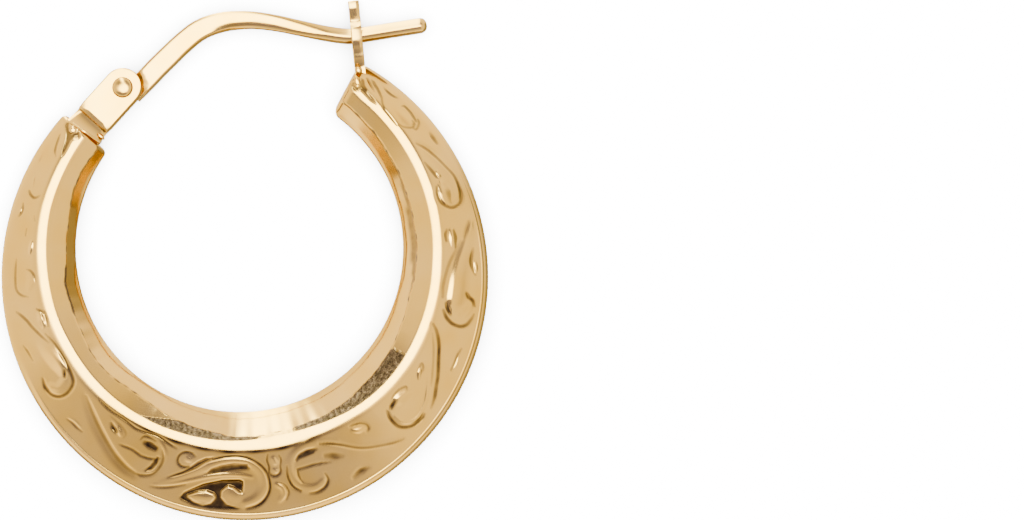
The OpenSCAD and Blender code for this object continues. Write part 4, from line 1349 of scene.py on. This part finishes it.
# The studio: what the polished metal sees, by the angle from straight above and the side that it comes
# from. Each row: degrees from straight above, and light. Sides are the photograph's.
LEFT_SIDE = [
    (0, 7), (11, 7), (14, 4), (20, 2.3), (28, 1.5), (38, 1.15), (60, 1.22), (92, 1.35), (104, 1.5),
    (130, 1.4), (160, 1), (180, 0.9),
]
RIGHT_SIDE = [
    (0, 7), (11, 7), (14, 3.8), (20, 2.1), (28, 1.35), (38, 1.1), (60, 1.2), (80, 1.1), (90, 0.42),
    (130, 0.42), (160, 0.8), (180, 0.8),
]
TOP_SIDE = [
    (0, 7), (11, 7), (15, 1.4), (20, 0.5), (36, 0.5), (50, 0.9), (70, 1.3), (90, 1.45), (130, 1.45),
    (160, 1.1), (180, 0.8),
]
FOOT_SIDE = [
    (0, 7), (11, 7), (13.5, 1.1), (16, 0.4), (33, 0.3), (40, 0.55), (52, 0.74), (64, 0.85), (72, 1.5),
    (84, 1.7), (94, 0.6), (120, 0.4), (180, 0.8),
]
WINDOW = [(0, 7), (70, 7), (100, 7), (140, 6), (160, 1.2), (180, 0.8)]
# Over which shares of right, up and foot the light goes from one side's to the next's
RIGHT_FROM = (-0.2, 0.2)
TOP_FROM = (0.25, 0.65)
FOOT_FROM = (0.5, 0.8)
# The middles of the dark foot side and of the tall narrow window above the hoop, as shares of up and right.
# Both stand a little to the left. Then where the window's edge is, and how fast its light begins there
FOOT_WAY = (-0.97, -0.25)
WINDOW_WAY = (0.984, -0.178)
WINDOW_EDGE = 0.95
WINDOW_GAIN = 20.0
FULL_LIGHT = 8.0
BACKDROP_LIGHT = 6.5
# Share of the light that is lost after this many reflections
DEEP = 2.5
DEEP_LOSS = 0.65

world = bpy.data.worlds.new("studio")
bpy.context.scene.world = world
world.use_nodes = True
sky = world.node_tree
sky.nodes.clear()


def light_ramp(rows, angle):
    """The light at each angle of one side."""
    ramp = sky.nodes.new("ShaderNodeValToRGB")
    ramp.color_ramp.interpolation = "LINEAR"
    elements = ramp.color_ramp.elements
    while len(elements) < len(rows):
        elements.new(0.5)
    for element, (degrees, light) in zip(elements, rows):
        element.position = degrees / 180.0
    for element, (degrees, light) in zip(elements, rows):
        level = light / FULL_LIGHT
        # Strong light is a little greener, and weak light from overhead comes cool from the room
        bright = min(1.0, max(0.0, (light - 2) / 3))
        weak = max(0.0, 1 - light) ** 2 if degrees < 75 else 0.0
        red = level * (1 - 0.07 * bright) * (1 - 0.15 * weak)
        element.color = (red, level * (1 + 0.045 * bright), level * (1 + 2 * weak), 1.0)
    sky.links.new(angle, ramp.inputs["Fac"])
    return ramp.outputs["Color"]


def turned_view(vector, turn):
    mapping = sky.nodes.new("ShaderNodeMapping")
    mapping.vector_type = "VECTOR"
    mapping.inputs["Rotation"].default_value = turn
    sky.links.new(vector, mapping.inputs["Vector"])
    return mapping.outputs["Vector"]


def pointing(upward, rightward, way):
    """How far a direction points the way that is given as shares of up and right."""
    up_part = calc(sky, "MULTIPLY", upward, way[0])
    return calc(sky, "ADD", up_part, calc(sky, "MULTIPLY", rightward, way[1]))


def studio_light():
    """The room's light from each direction, turned into the photograph's: right, up, towards the camera."""
    look = turned_view(sky.nodes.new("ShaderNodeTexCoord").outputs["Generated"], (lean, 0.0, 0.0))
    parts = sky.nodes.new("ShaderNodeSeparateXYZ")
    sky.links.new(turned_view(look, (0.0, 0.0, TURNED)), parts.inputs["Vector"])
    right, up, towards = parts.outputs
    angle = calc(sky, "DIVIDE", calc(sky, "ARCCOSINE", towards), math.pi)
    up_square = calc(sky, "ADD", calc(sky, "MULTIPLY", up, up), 1e-6)
    level = calc(sky, "SQRT", calc(sky, "ADD", calc(sky, "MULTIPLY", right, right), up_square))
    upward = calc(sky, "DIVIDE", up, level)
    rightward = calc(sky, "DIVIDE", right, level)
    to_right = to_range(sky, rightward, 0.0, 1.0, *RIGHT_FROM, "SMOOTHSTEP")
    light = blend(sky, to_right, light_ramp(LEFT_SIDE, angle), light_ramp(RIGHT_SIDE, angle))
    to_top = to_range(sky, upward, 0.0, 1.0, *TOP_FROM, "SMOOTHSTEP")
    light = blend(sky, to_top, light, light_ramp(TOP_SIDE, angle))
    to_foot = to_range(sky, pointing(upward, rightward, FOOT_WAY), 0.0, 1.0, *FOOT_FROM, "SMOOTHSTEP")
    light = blend(sky, to_foot, light, light_ramp(FOOT_SIDE, angle))
    past = calc(sky, "SUBTRACT", pointing(upward, rightward, WINDOW_WAY), WINDOW_EDGE)
    past = calc(sky, "MULTIPLY", past, WINDOW_GAIN)
    in_window = calc(sky, "MINIMUM", calc(sky, "MAXIMUM", past, 0.0), 1.0)
    return blend(sky, calc(sky, "POWER", in_window, 3.0), light, light_ramp(WINDOW, angle))


def background(colour, strength):
    node = sky.nodes.new("ShaderNodeBackground")
    feed(sky, node.inputs["Color"], colour)
    feed(sky, node.inputs["Strength"], strength)
    return node.outputs[0]


seen = sky.nodes.new("ShaderNodeLightPath")
lost = calc(sky, "MULTIPLY", calc(sky, "GREATER_THAN", seen.outputs["Ray Depth"], DEEP), DEEP_LOSS)
strength = calc(sky, "MULTIPLY", calc(sky, "SUBTRACT", 1.0, lost), FULL_LIGHT)
choose = sky.nodes.new("ShaderNodeMixShader")
sky.links.new(seen.outputs["Is Camera Ray"], choose.inputs[0])
sky.links.new(background(studio_light(), strength), choose.inputs[1])
sky.links.new(background((1.0, 1.0, 1.0), BACKDROP_LIGHT), choose.inputs[2])
studio_out = sky.nodes.new("ShaderNodeOutputWorld")
sky.links.new(choose.outputs[0], studio_out.inputs["Surface"])

lamp_data = bpy.data.lights.new("overhead softbox", "SUN")
lamp_data.energy = 24.0
lamp_data.angle = math.radians(80)
lamp = bpy.data.objects.new("overhead softbox", lamp_data)
lamp.visible_glossy = False
scene = bpy.context.scene
scene.collection.objects.link(lamp)
scene.view_settings.view_transform = "AgX"
scene.view_settings.look = "AgX - Medium High Contrast"

# The camera looks straight down on the hoop's plane, from far off in mm, at the middle of the photograph
CAMERA_FAR = 600.0
SENSOR_W = 36.0
aim = LAY @ Vector((*on_hoop(FRAME_PX[0] / 2, FRAME_PX[1] / 2), 0.0))
towards = (LAY.to_3x3() @ Vector((0, 0, 1))).normalized()
photo_up = (LAY.to_3x3() @ Vector((math.sin(TURNED), math.cos(TURNED), 0))).normalized()
photo_right = photo_up.cross(towards).normalized()
camera_data = bpy.data.cameras.new("camera")
camera_data.sensor_width = SENSOR_W
camera_data.lens = SENSOR_W * CAMERA_FAR / (FRAME_PX[0] / PX_PER_MM)
camera_data.clip_start = 0.01
camera_data.clip_end = 10.0
camera = bpy.data.objects.new("camera", camera_data)
scene.collection.objects.link(camera)
place = Matrix((photo_right, photo_up, towards)).transposed().to_4x4()
place.translation = aim + towards * CAMERA_FAR * 0.001
camera.matrix_world = place
scene.camera = camera
